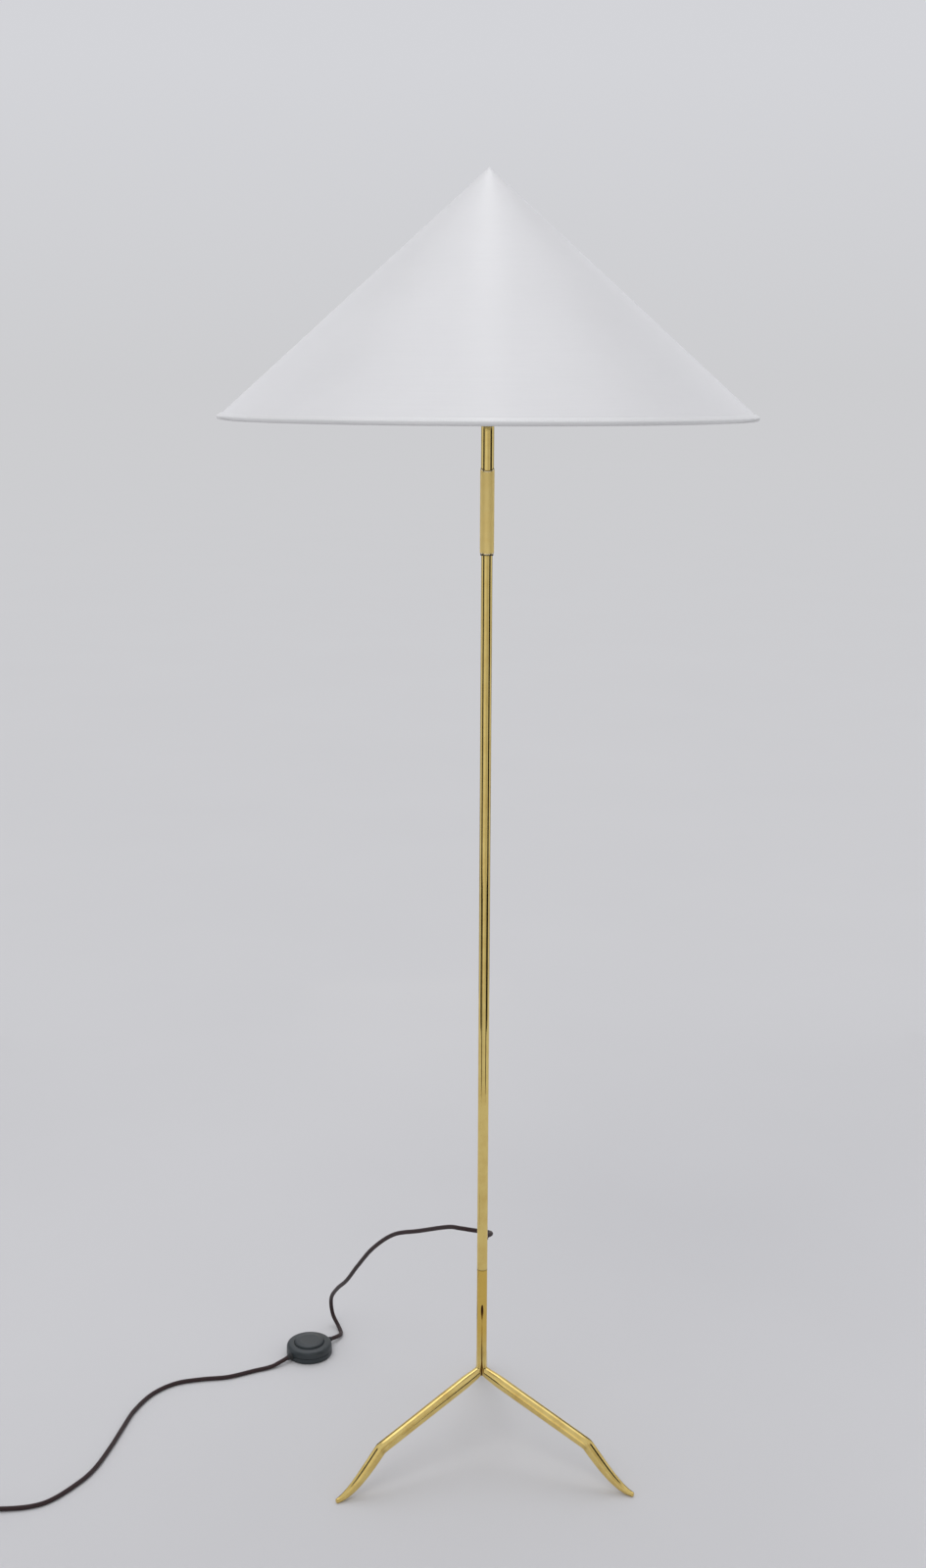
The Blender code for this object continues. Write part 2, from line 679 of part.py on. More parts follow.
def make_shade(materials):
    slope = math.atan2(APEX - COVER_EDGE[1], COVER_EDGE[0])
    drop = COVER_WALL / math.cos(slope)
    inner_edge = cone_radius(COVER_EDGE[1]) - COVER_WALL / math.sin(slope)
    middle = (APEX + COVER_EDGE[1]) / 2
    turned(
        "shade_cover",
        [
            (0.0, APEX),
            (cone_radius(middle), middle),
            COVER_EDGE,
            (inner_edge, COVER_EDGE[1]),
            (cone_radius(middle + drop), middle),
            (0.0, APEX - drop),
        ],
        materials["fabric"],
        SHADE_FACETS,
    )
    hem_gap = GAP / math.sin(slope)
    hem_wall = 0.0006
    top = RIM_BOTTOM + 0.0088
    outer_top = cone_radius(top) + hem_gap + hem_wall / math.sin(slope)
    turned(
        "shade_hem",
        [
            (outer_top, top),
            (RIM_RADIUS, RIM_BOTTOM + 0.0046),
            (RIM_RADIUS - 0.0003, RIM_BOTTOM + 0.0012),
            (RIM_RADIUS - 0.0026, RIM_BOTTOM),
            (RIM_RADIUS - 0.0060, RIM_BOTTOM + 0.0004),
            (RIM_RADIUS - 0.0057, RIM_BOTTOM + 0.0010),
            (RIM_RADIUS - 0.0028, RIM_BOTTOM + hem_wall),
            (RIM_RADIUS - 0.0009, RIM_BOTTOM + 0.0018),
            (RIM_RADIUS - 0.0009, RIM_BOTTOM + 0.0042),
            (outer_top - hem_wall / math.sin(slope), top),
        ],
        materials["hem"],
        SHADE_FACETS,
    )
    wire_rings = {
        "rim_wire": (RIM_RADIUS - 0.0036, RIM_BOTTOM + 0.0029),
        "spider_ring": (SPIDER_RING_RADIUS, SPIDER_HEIGHT),
    }
    for name, (radius, height) in wire_rings.items():
        section = [
            (radius + FRAME_WIRE * math.cos(math.radians(a)), height - FRAME_WIRE * math.sin(math.radians(a)))
            for a in range(0, 360, 60)
        ]
        turned(name, section, materials["white_wire"], SHADE_FACETS)
    hub_inner = 0.0196
    ring("spider_hub", hub_inner, HUB_RADIUS, SPIDER_HEIGHT - 0.0014, SPIDER_HEIGHT + 0.0014, materials["white_wire"])
    arm_start = HUB_RADIUS + GAP
    arm_end = SPIDER_RING_RADIUS - FRAME_WIRE - GAP
    for number, angle in enumerate(SPIDER_ANGLES, start=1):
        out = direction(angle)
        lift = Vector((0.0, 0.0, SPIDER_HEIGHT))
        swept(f"spider_arm_{number}", [out * arm_start + lift, out * arm_end + lift], FRAME_WIRE, materials["white_wire"])


# ---------------------------------------------------------------- foot switch


def make_switch_shells(material, place):
    outer = SWITCH_RADIUS
    inner = SWITCH_RADIUS - SWITCH_WALL
    shell = turned(
        "switch_base",
        [
            (outer, SWITCH_SPLIT),
            (outer, 0.0012),
            (outer - 0.0012, 0.0),
            (0.0, 0.0),
            (0.0, 0.0030),
            (inner, 0.0030),
            (inner, SWITCH_SPLIT),
        ],
        material,
        FINE,
        place,
    )
    lip_top = SWITCH_LIP + 0.0018
    hole = BUTTON_RADIUS + 0.0004
    cover = turned(
        "switch_cover",
        [
            (hole, lip_top),
            (outer - 0.0060, lip_top),
            (outer - 0.0022, lip_top - 0.0012),
            (outer - 0.0003, lip_top - 0.0040),
            (outer, SWITCH_SPLIT + GAP),
            (inner, SWITCH_SPLIT + GAP),
            (inner - 0.0002, SWITCH_LIP - 0.0026),
            (outer - 0.0062, SWITCH_LIP),
            (hole, SWITCH_LIP),
        ],
        material,
        FINE,
        place,
    )
    return shell, cover


def make_switch_fasteners(materials, place, shell, cover):
    """Two screws up through the base into bosses of the cover."""
    for number, angle in enumerate((130.0, 310.0), start=1):
        spot = place @ Matrix.Translation(direction(angle) * SCREW_DISTANCE)
        boss = turned(
            f"join_boss_{number}",
            [(0.0, SWITCH_LIP + 0.0008), (0.0030, SWITCH_LIP + 0.0008), (0.0030, SWITCH_SPLIT + 0.001), (0.0, SWITCH_SPLIT + 0.001)],
            None,
            COARSE,
            spot,
            CUTTERS,
        )
        cut(cover, as_cutter(boss), "UNION")
        hole = cylinder_cutter(f"cut_boss_{number}", 0.0017, 0.002, 0.0150, spot, 12)
        cut(cover, hole)
        cut(shell, hole)
        cut(shell, cylinder_cutter(f"cut_screw_head_{number}", 0.0031, -0.001, 0.0021, spot, 16))
        turned(
            f"switch_screw_{number}",
            [(0.0, 0.0135), (0.0014, 0.0135), (0.0014, 0.0018), (0.0027, 0.0018), (0.0027, 0.0006), (0.0, 0.0006)],
            materials["steel"],
            12,
            spot,
        )


def make_switch_insides(materials, place):
    turned(
        "switch_mechanism",
        [(0.0090, 0.0096), (0.0090, 0.0033), (0.0, 0.0033), (0.0, 0.0045), (0.0034, 0.0045), (0.0034, 0.0096)],
        materials["bakelite"],
        COARSE,
        place,
    )
    for name, angle in (("switch_terminal_in", 40.0), ("switch_terminal_out", 220.0)):
        block = [(-0.0030, -0.0055), (0.0030, -0.0055), (0.0030, 0.0055), (-0.0030, 0.0055)]
        spot = place @ Matrix.Translation(direction(angle) * 0.0165) @ Matrix.Rotation(math.radians(angle), 4, "Z")
        prism(name, block, 0.0033, 0.0088, materials["bright_brass"], spot)
    under = SWITCH_TOP - 0.0020
    turned(
        "switch_button",
        [
            (0.0, SWITCH_TOP),
            (0.0140, SWITCH_TOP - 0.0005),
            (0.0200, SWITCH_TOP - 0.0014),
            (0.0218, SWITCH_TOP - 0.0026),
            (BUTTON_RADIUS, SWITCH_LIP + 0.0004),
            (BUTTON_RADIUS, SWITCH_LIP - GAP),
            (0.0245, SWITCH_LIP - GAP),
            (0.0245, SWITCH_LIP - 0.0017),
            (0.0205, SWITCH_LIP - 0.0017),
            (0.0200, under - 0.0012),
            (0.0135, under),
            (0.0, under),
        ],
        materials["switch"],
        FINE,
        place,
    )
    turned(
        "switch_plunger",
        [(0.0, under - GAP), (0.0029, under - GAP), (0.0029, 0.0082), (0.0, 0.0082)],
        materials["bakelite"],
        12,
        place,
    )
    turns = 4
    per_turn = 10
    wire = 0.0005
    low = 0.0096 + GAP + wire
    high = under - GAP - wire
    centre = Vector((*SWITCH_CENTRE, 0.0))
    coil = []
    for index in range(turns * per_turn + 1):
        share = index / (turns * per_turn)
        lift = Vector((0.0, 0.0, low + (high - low) * share))
        coil.append(centre + direction(360.0 * index / per_turn) * 0.0060 + lift)
    swept("switch_spring", coil, wire, materials["steel"], resolution=1)


def make_switch(materials):
    place = Matrix.Translation((*SWITCH_CENTRE, 0.0))
    shell, cover = make_switch_shells(materials["switch"], place)
    make_switch_fasteners(materials, place, shell, cover)
    make_switch_insides(materials, place)
    for name, angle in SWITCH_PORT_ANGLES.items():
        level = along(angle, SWITCH_CENTRE, PORT_HEIGHT)
        port = cylinder_cutter(f"cut_{name}", PORT_RADIUS, 0.0290, 0.0370, level)
        cut(shell, port)
        cut(cover, port)
        turned(
            name,
            [
                (0.0033, GLAND_END),
                (0.0044, GLAND_END - 0.0050),
                (0.0050, SWITCH_RADIUS + 0.0009),
                (0.0050, SWITCH_RADIUS + GAP),
                (0.0037, SWITCH_RADIUS + GAP),
                (0.0037, SWITCH_RADIUS - SWITCH_WALL - 0.0008),
                (0.0045, SWITCH_RADIUS - SWITCH_WALL - 0.0008),
                (0.0045, SWITCH_RADIUS - 0.0040),
                (0.0016, SWITCH_RADIUS - 0.0040),
                (0.0016, GLAND_END),
            ],
            materials["rubber"],
            COARSE,
            level,
        )


# ---------------------------------------------------------------- cord, coil and plug


def make_cords(material):
    swept("cord_pole_to_switch", smooth_route(CORD_TO_SWITCH, CORD_STEP), CORD_RADIUS, material)
    swept("cord_switch_to_coil", smooth_route(CORD_TO_COIL, CORD_STEP), CORD_RADIUS, material)
    swept("cord_coil_to_plug", smooth_route(CORD_TO_PLUG, CORD_STEP), CORD_RADIUS, material)


def make_coil(materials):
    top = COIL_BOTTOM + COIL_HEIGHT
    round_off = 0.0022
    turned(
        "cord_coil",
        [
            (COIL_OUTER - round_off, top),
            (COIL_OUTER, top - round_off),
            (COIL_OUTER, COIL_BOTTOM + round_off),
            (COIL_OUTER - round_off, COIL_BOTTOM),
            (COIL_INNER + round_off, COIL_BOTTOM),
            (COIL_INNER, COIL_BOTTOM + round_off),
            (COIL_INNER, top - round_off),
            (COIL_INNER + round_off, top),
        ],
        materials["cord"],
        FINE,
        Matrix.Translation((*COIL_CENTRE, 0.0)),
    )
    reach = (COIL_OUTER - COIL_INNER) / 2 + GAP + TIE_RADIUS
    rise = COIL_HEIGHT / 2 + GAP + TIE_RADIUS
    middle = Vector((*COIL_CENTRE, COIL_BOTTOM + COIL_HEIGHT / 2))
    out = direction(COIL_TIE_ANGLE)
    middle += out * (COIL_OUTER + COIL_INNER) / 2
    corner = 0.0018
    outline = [
        (reach - corner, rise),
        (reach, rise - corner),
        (reach, corner - rise),
        (reach - corner, -rise),
        (corner - reach, -rise),
        (-reach, corner - rise),
        (-reach, rise - corner),
        (corner - reach, rise),
    ]
    loop = [middle + out * across + Vector((0.0, 0.0, up)) for across, up in outline]
    swept("coil_tie", loop, TIE_RADIUS, materials["rubber"], resolution=1, cyclic=True)


def make_plug(materials):
    axis_height = PLUG_THICKNESS / 2
    place = Matrix.Translation((*PLUG_REAR, 0.0)) @ Matrix.Rotation(math.radians(PLUG_ANGLE), 4, "Z")
    half = [(0.0, 0.0070), (0.0060, 0.0085), (0.0200, 0.0165), (0.0260, 0.0175), (PLUG_LENGTH, 0.0175)]
    outline = half + [(x, -y) for x, y in half[::-1]]
    body = prism("plug_body", outline, 0.0, PLUG_THICKNESS, materials["switch"], place)
    bevelled(body, 0.0022)
    level = along(PLUG_ANGLE, PLUG_REAR, axis_height)
    for number, side in ((1, 1), (2, -1)):
        spot = level @ Matrix.Translation((0.0, side * PIN_SPACING / 2, 0.0))
        end = PLUG_LENGTH + GAP + PIN_LENGTH
        turned(
            f"plug_pin_{number}",
            [(0.0, end), (PIN_RADIUS - 0.0007, end - 0.0003), (PIN_RADIUS, end - 0.0015), (PIN_RADIUS, PLUG_LENGTH + GAP), (0.0, PLUG_LENGTH + GAP)],
            materials["steel"],
            12,
            spot,
        )
    turned(
        "plug_relief",
        [(0.0052, -GAP), (0.0034, -RELIEF_LENGTH), (0.0016, -RELIEF_LENGTH), (0.0016, -GAP)],
        materials["switch"],
        COARSE,
        level,
    )


clear_scene()
PARTS = new_collection("tripod_floor_lamp")
CUTTERS = new_collection("cutters")
CUTTERS.hide_render = True

MATERIALS = make_materials()
SEAM_CUTTERS = make_seam_cutters()
make_legs(MATERIALS["brass"], SEAM_CUTTERS)
make_neck(MATERIALS["brass"], SEAM_CUTTERS)
make_pole(MATERIALS)
make_inner_flex(MATERIALS["flex"])
make_stem(MATERIALS)
make_holder(MATERIALS)
make_bulb(MATERIALS)
make_shade(MATERIALS)
make_switch(MATERIALS)
make_cords(MATERIALS["cord"])
make_coil(MATERIALS)
make_plug(MATERIALS)
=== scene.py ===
"""Tripod floor lamp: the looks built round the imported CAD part.

Metres, +Z up, the row frame of the part. The pole's axis is the Z axis and the front is -Y.
"""

import math

import bmesh
import bpy
from mathutils import Matrix, Vector
from mathutils.geometry import interpolate_bezier


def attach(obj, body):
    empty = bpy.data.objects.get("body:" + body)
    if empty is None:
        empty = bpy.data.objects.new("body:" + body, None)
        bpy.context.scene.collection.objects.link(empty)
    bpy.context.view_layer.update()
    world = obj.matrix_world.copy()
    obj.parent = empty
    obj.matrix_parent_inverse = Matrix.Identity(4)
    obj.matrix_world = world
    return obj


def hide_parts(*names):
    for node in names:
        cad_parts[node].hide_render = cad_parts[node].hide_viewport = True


# ---------------------------------------------------------------- sizes

ROUND = 96
SMALL_ROUND = 48

LEG_SECTORS = {"leg_left": 210.0, "leg_right": 330.0, "leg_back": 90.0}  # each leg's third of the neck
LEG_HEADINGS = {"leg_left": 210.0, "leg_right": 330.0, "leg_back": 86.8}  # where its bar points
SEAM_ANGLES = (30.0, 150.0, 270.0)
NECK_RADIUS = 0.00695
NECK_TOP = 0.2722
LEG_TOP = 0.2122
LEG_LINE_TOP = 0.123
LEG_SLOPE = 0.42
LEG_BEND_RADIUS = 0.009
LEG_RADIUS = 0.0082
LEG_SWELL_END = 0.030
KNEE = (0.1583, 0.0562)
KNEE_RADIUS = 0.0080
TOE_HANDLES = ((0.182, 0.030), (0.203, 0.006))
TOE_TIP = (0.225, 0.0026)
TOE_RADIUS = 0.0031
DROP_TOP = 0.2235
SEAM_FOOT = 0.1290
SEAM_DARK_WIDTH = 0.0019
DROP_BOTTOM = 0.1990

POLE_RADIUS = 0.0070
POLE_TOP = 1.2970
STEM_RADIUS = 0.0080
STEM_BOTTOM = 1.2280
STEM_TOP = 1.4300
GRIP_RADIUS = 0.00865
GRIP_BORE = 0.00825
GRIP_BOTTOM = 1.2280
GRIP_TOP = 1.3320
GRIP_TOP_DIP = 0.0032
GRIP_BOTTOM_RISE = 0.0012
GRIP_RING_HEIGHT = 0.0014

RIM_RADIUS = 0.325
RIM_BOTTOM = 1.390
APEX = 1.681
COVER_EDGE = (0.3209, 1.3958)
SPIDER_HEIGHT = 1.4727
SPIDER_RING_RADIUS = 0.2296
SPIDER_ANGLES = (30.0, 150.0, 270.0)
WIRE = 0.00175

SWITCH_CENTRE = (-0.246, 0.264)
SWITCH_RADIUS = 0.034
SWITCH_SPLIT = 0.0080
SWITCH_TOP = 0.0230
SWITCH_LIP = 0.0191
BUTTON_RADIUS = 0.0222
PORT_HEIGHT = 0.0078
PORT_ANGLES = {"gland_in": 40.0, "gland_out": 220.0}

CORD_RADIUS = 0.0030
CORD_SIDES = 20
BRAID_YARNS = 8.0
BRAID_PITCH = 0.021
CORD_HOLE_HEIGHT = 0.3144
CORD_HOLE_ANGLE = 60.0
COIL_CENTRE = (-0.705, -0.140)
COIL_TURN_RADII = (0.0270, 0.0330, 0.0390)
COIL_LAYER_HEIGHTS = (0.0043, 0.0103)
COIL_TURNS = 6.25
COIL_END_OUT = 0.0065
ROUTE_STEP = 0.0025
CORD_INTO_SWITCH = 0.008
PLUG_REAR = (-0.7480, -0.2220)
PLUG_ANGLE = -87.0
PLUG_THICKNESS = 0.0136
PLUG_LENGTH = 0.038

CORD_TO_SWITCH = [
    (0.0046, 0.0080, 0.3144),
    (0.0066, 0.0115, 0.3142),
    (0.0107, 0.0180, 0.3125),
    (0.0130, 0.0260, 0.3100),
    (0.0118, 0.0347, 0.3070),
    (0.0062, 0.0437, 0.3040),
    (-0.0075, 0.0530, 0.3015),
    (-0.0270, 0.0625, 0.3005),
    (-0.0440, 0.0810, 0.2935),
    (-0.0820, 0.1230, 0.2675),
    (-0.1180, 0.1600, 0.2440),
    (-0.1480, 0.1955, 0.2055),
    (-0.1705, 0.2320, 0.1600),
    (-0.1890, 0.2690, 0.1160),
    (-0.2045, 0.3120, 0.0800),
    (-0.2148, 0.3460, 0.0460),
    (-0.2133, 0.3500, 0.0180),
    (-0.2042, 0.3345, 0.0052),
    (-0.1998, 0.3190, 0.0033),
    (-0.2005, 0.3080, 0.0048),
    (-0.2055, 0.2985, 0.0070),
    (-0.21344, 0.29132, 0.0078),
]
CORD_TO_COIL = [
    (-0.27856, 0.23668, 0.0078),
    (-0.2880, 0.2290, 0.0062),
    (-0.3020, 0.2205, 0.0036),
    (-0.3265, 0.2110, 0.0031),
    (-0.3630, 0.1955, 0.0031),
    (-0.4010, 0.1905, 0.0031),
    (-0.4380, 0.1805, 0.0031),
    (-0.4680, 0.1535, 0.0031),
    (-0.4880, 0.1120, 0.0031),
    (-0.4980, 0.0715, 0.0031),
    (-0.5090, 0.0205, 0.0031),
    (-0.5230, -0.0290, 0.0031),
    (-0.5400, -0.0615, 0.0031),
    (-0.5680, -0.0965, 0.0031),
    (-0.5940, -0.1105, 0.0031),
    (-0.6315, -0.1147, 0.0036),
    (-0.6560, -0.1110, 0.0043),
]
CORD_FROM_COIL = [
    (-0.7508, -0.1520, 0.0045),
    (-0.7515, -0.1610, 0.0042),
    (-0.7510, -0.1750, 0.0040),
    (-0.7500, -0.1900, 0.0050),
    (-0.7490, -0.2034, 0.0068),
]

# reflection panels: (azimuth, distance, width, height, level)
CARDS = [
    (-159.0, 1.65, 0.80, 1.45, 0.01),
    (-26.0, 1.65, 1.00, 1.45, 0.01),
    (-134.0, 1.30, 0.36, 0.45, 0.02),
    (-46.0, 1.30, 0.36, 0.45, 0.02),
    (-118.0, 1.85, 0.42, 1.45, 0.86),
    (-70.0, 1.95, 0.90, 1.45, 0.50),
    (48.0, 1.90, 0.60, 1.45, 0.02),
    (128.0, 1.90, 0.50, 1.45, 0.02),
    (92.0, 2.00, 0.50, 1.45, 0.85),
]
SKY_LOW = (0.610, 0.612, 0.630)
SKY_HIGH = (0.655, 0.660, 0.690)
CAMERA_PLACE = (-0.1239, -2.2308, 1.4378)
CAMERA_AZIMUTH = 87.545
CAMERA_PITCH = 12.589
CAMERA_ROLL = 0.2202
CAMERA_LENS = 41.625
FLOOR_REACH = 60.0
FLOOR_HAZE_START = 0.9
FLOOR_HAZE_DECADES = 1.5


# ---------------------------------------------------------------- shader helpers


class Nodes:
    """Adds shader nodes to one material and joins them."""

    def __init__(self, material):
        self.tree = material.node_tree
        self.shader = self.tree.nodes["Principled BSDF"]

    def new(self, kind, **settings):
        node = self.tree.nodes.new(kind)
        for name, value in settings.items():
            setattr(node, name, value)
        return node

    def link(self, source, target):
        self.tree.links.new(source, target)

    def math(self, operation, first, second=None, clamp=False):
        node = self.new("ShaderNodeMath", operation=operation, use_clamp=clamp)
        for socket, value in zip(node.inputs, (first, second)):
            if value is None:
                continue
            if isinstance(value, (int, float)):
                socket.default_value = value
            else:
                self.link(value, socket)
        return node.outputs[0]

    def varied(self, base, source, amount):
        """Base plus this much of a 0 to 1 source about its middle."""
        return self.math("ADD", base, self.math("MULTIPLY", self.math("SUBTRACT", source, 0.5), amount))

    def ramp(self, source, stops):
        node = self.new("ShaderNodeValToRGB")
        elements = node.color_ramp.elements
        while len(elements) < len(stops):
            elements.new(0.5)
        for element, (stop, colour) in zip(elements, stops):
            element.position = stop
            if isinstance(colour, (int, float)):
                colour = (colour, colour, colour)
            element.color = (*colour, 1.0)
        self.link(source, node.inputs[0])
        return node.outputs[0]

    def mix(self, factor, first, second, blend="MIX"):
        node = self.new("ShaderNodeMix", data_type="RGBA", blend_type=blend)
        sockets = (node.inputs[0], node.inputs[6], node.inputs[7])
        for socket, value in zip(sockets, (factor, first, second)):
            if isinstance(value, (int, float)):
                socket.default_value = value
            elif isinstance(value, tuple):
                socket.default_value = (*value, 1.0)
            else:
                self.link(value, socket)
        return node.outputs[2]

    def noise(self, vector, scale, detail=3.0, roughness=0.55):
        node = self.new("ShaderNodeTexNoise")
        node.inputs["Scale"].default_value = scale
        node.inputs["Detail"].default_value = detail
        node.inputs["Roughness"].default_value = roughness
        self.link(vector, node.inputs["Vector"])
        return node.outputs["Fac"]

    def stretched(self, vector, scale):
        node = self.new("ShaderNodeMapping")
        node.inputs["Scale"].default_value = scale
        self.link(vector, node.inputs["Vector"])
        return node.outputs["Vector"]

    def object_space(self):
        return self.new("ShaderNodeTexCoord").outputs["Object"]

    def wrap(self, radius):
        """UV turned into a seamless vector: once round a ring of this radius, and metres along Z."""
        split = self.new("ShaderNodeSeparateXYZ")
        self.link(self.new("ShaderNodeUVMap", uv_map="wrap").outputs[0], split.inputs[0])
        angle = self.math("MULTIPLY", split.outputs[0], math.tau)
        join = self.new("ShaderNodeCombineXYZ")
        self.link(self.math("MULTIPLY", self.math("COSINE", angle), radius), join.inputs[0])
        self.link(self.math("MULTIPLY", self.math("SINE", angle), radius), join.inputs[1])
        self.link(split.outputs[1], join.inputs[2])
        return join.outputs[0], split.outputs[0], split.outputs[1]

    def bump(self, height, strength, distance, normal=None):
        node = self.new("ShaderNodeBump")
        node.inputs["Strength"].default_value = strength
        node.inputs["Distance"].default_value = distance
        self.link(height, node.inputs["Height"])
        if normal:
            self.link(normal, node.inputs["Normal"])
        return node.outputs["Normal"]

    def plug(self, **sockets):
        names = {"colour": "Base Color", "roughness": "Roughness", "normal": "Normal", "metallic": "Metallic"}
        for key, value in sockets.items():
            target = self.shader.inputs[names.get(key, key)]
            if isinstance(value, (int, float)):
                target.default_value = value
            elif isinstance(value, tuple):
                target.default_value = (*value, 1.0)
            else:
                self.link(value, target)


def new_material(name):
    material = bpy.data.materials.new(name)
    material.use_nodes = True
    return material, Nodes(material)


# ---------------------------------------------------------------- materials


def seam_darkening(n):
    """Darkens a drop at the top of each seam of the neck, and the thin line that runs down from it to the
    crotch.
    """
    split = n.new("ShaderNodeSeparateXYZ")
    n.link(n.object_space(), split.inputs[0])
    above_foot = n.math("SUBTRACT", split.outputs[2], SEAM_FOOT)
    share = n.math("DIVIDE", above_foot, DROP_TOP - SEAM_FOOT, clamp=True)
    widths = [(0.0, 0.55), (0.08, 0.32), (0.30, 0.30), (0.55, 0.16), (0.66, 0.12), (0.73, 0.14)]
    widths += [(0.80, 0.36), (0.87, 0.74), (0.93, 0.92), (0.97, 0.72), (1.0, 0.0)]
    width = n.math("MULTIPLY", n.ramp(share, widths), SEAM_DARK_WIDTH)
    seam_dark_mask = None
    for angle in SEAM_ANGLES:
        out = direction(angle)
        parts = [n.math("MULTIPLY", split.outputs[0], out.x), n.math("MULTIPLY", split.outputs[1], out.y)]
        along = n.math("ADD", *parts)
        parts = [n.math("MULTIPLY", split.outputs[0], -out.y), n.math("MULTIPLY", split.outputs[1], out.x)]
        across = n.math("ABSOLUTE", n.math("ADD", *parts))
        edge = n.math("DIVIDE", n.math("SUBTRACT", width, across), 0.00025, clamp=True)
        mark = n.math("MULTIPLY", edge, n.math("GREATER_THAN", along, 0.0))
        seam_dark_mask = mark if seam_dark_mask is None else n.math("MAXIMUM", seam_dark_mask, mark)
    return seam_dark_mask


def brass(name, bright, aged, polish, lines=1.0, blotch=0.5, seams=False):
    """Lacquered drawn brass: lines along the tube, soft blotches, and brown soil and painted shade where the
    piece says so.
    """
    material, n = new_material(name)
    grain, _, _ = n.wrap(0.008)
    drawn = n.noise(n.stretched(grain, (1.0, 1.0, 0.02)), 1500.0, 4.0)
    cloud = n.noise(grain, 55.0, 5.0, 0.62)
    fleck = n.noise(grain, 900.0, 2.0)
    age = n.ramp(cloud, [(0.40, 0.0), (0.72, blotch)])
    colour = n.mix(age, bright, aged)
    spots = n.ramp(fleck, [(0.70, 0.0), (0.80, 0.5 * blotch)])
    colour = n.mix(spots, colour, (0.30, 0.17, 0.05))
    amber = n.new("ShaderNodeAttribute", attribute_name="amber").outputs["Fac"]
    colour = n.mix(amber, colour, (0.74, 0.50, 0.11))
    # The attribute read here darkens the brass with brown soil, and with painted shade in the crotch and in
    # the grip's gap.
    soil_and_shade_mask = n.new("ShaderNodeAttribute", attribute_name="soil").outputs["Fac"]
    soil_and_shade_mask = n.math("MULTIPLY", soil_and_shade_mask, n.ramp(cloud, [(0.30, 0.75), (0.60, 1.0)]), clamp=True)
    if seams:
        soil_and_shade_mask = n.math("MAXIMUM", soil_and_shade_mask, seam_darkening(n))
    colour = n.mix(soil_and_shade_mask, colour, (0.085, 0.035, 0.012))
    low, high = polish
    rough = n.ramp(cloud, [(0.35, low), (0.70, high)])
    rough = n.math("ADD", rough, n.math("MULTIPLY", soil_and_shade_mask, 0.30))
    rough = n.varied(rough, drawn, 0.10 * lines)
    normal = n.bump(drawn, 0.12 * lines, 0.00002)
    normal = n.bump(n.noise(n.stretched(grain, (1.0, 1.0, 0.15)), 160.0, 2.0), 0.3, 0.00003, normal)
    n.plug(colour=colour, roughness=rough, normal=normal, metallic=1.0)
    return material


def shade_fabric(name, colour, stitch=False):
    """Fine silky weave with slubs that run round the cone, lit a little from behind."""
    material, n = new_material(name)
    band, turn, down = n.wrap(0.06)
    slub = n.noise(n.stretched(band, (1.0, 1.0, 14.0)), 60.0, 5.0, 0.65)
    fine = n.noise(n.stretched(band, (1.0, 1.0, 8.0)), 260.0, 3.0, 0.6)
    warp = n.math("SINE", n.math("MULTIPLY", turn, math.tau * 1500.0))
    weft = n.math("SINE", n.math("MULTIPLY", down, math.tau * 1600.0))
    weave = n.math("MULTIPLY", warp, weft)
    cloud = n.noise(n.object_space(), 9.0, 3.0)
    shade = n.math("ADD", n.math("MULTIPLY", slub, 0.45), n.math("MULTIPLY", cloud, 0.55))
    tone = n.ramp(shade, [(0.30, tuple(0.955 * c for c in colour)), (0.66, colour)])
    tone = n.mix(n.ramp(fine, [(0.55, 0.0), (0.80, 0.25)]), tone, tuple(0.90 * c for c in colour))
    rough = n.ramp(slub, [(0.3, 0.32), (0.7, 0.44)])
    height = n.math("ADD", n.math("MULTIPLY", slub, 1.0), n.math("MULTIPLY", weave, 0.22))
    normal = n.bump(height, 0.35, 0.00012)
    if stitch:
        dash = n.math("SINE", n.math("MULTIPLY", turn, math.tau * 620.0))
        line = n.math("COMPARE", down, 0.0052)
        line.node.inputs[2].default_value = 0.0004
        seam = n.math("MULTIPLY", line, n.ramp(dash, [(0.35, 0.0), (0.6, 1.0)]))
        tone = n.mix(n.math("MULTIPLY", seam, 0.35), tone, (0.55, 0.55, 0.54))
        normal = n.bump(seam, 0.6, 0.0003, normal)
    n.plug(colour=tone, roughness=rough, normal=normal)
    n.plug(**{"Sheen Weight": 0.25, "Sheen Roughness": 0.35, "Specular IOR Level": 1.0})
    n.plug(**{"Anisotropic": 0.85, "Anisotropic Rotation": 0.25})
    fibres = n.new("ShaderNodeTangent", direction_type="UV_MAP", uv_map="wrap")
    n.link(fibres.outputs[0], n.shader.inputs["Tangent"])
    glow = n.new("ShaderNodeBsdfTranslucent")
    n.link(tone, glow.inputs["Color"])
    both = n.new("ShaderNodeMixShader")
    both.inputs[0].default_value = 0.12
    n.link(n.shader.outputs[0], both.inputs[1])
    n.link(glow.outputs[0], both.inputs[2])
    n.link(both.outputs[0], n.tree.nodes["Material Output"].inputs["Surface"])
    return material


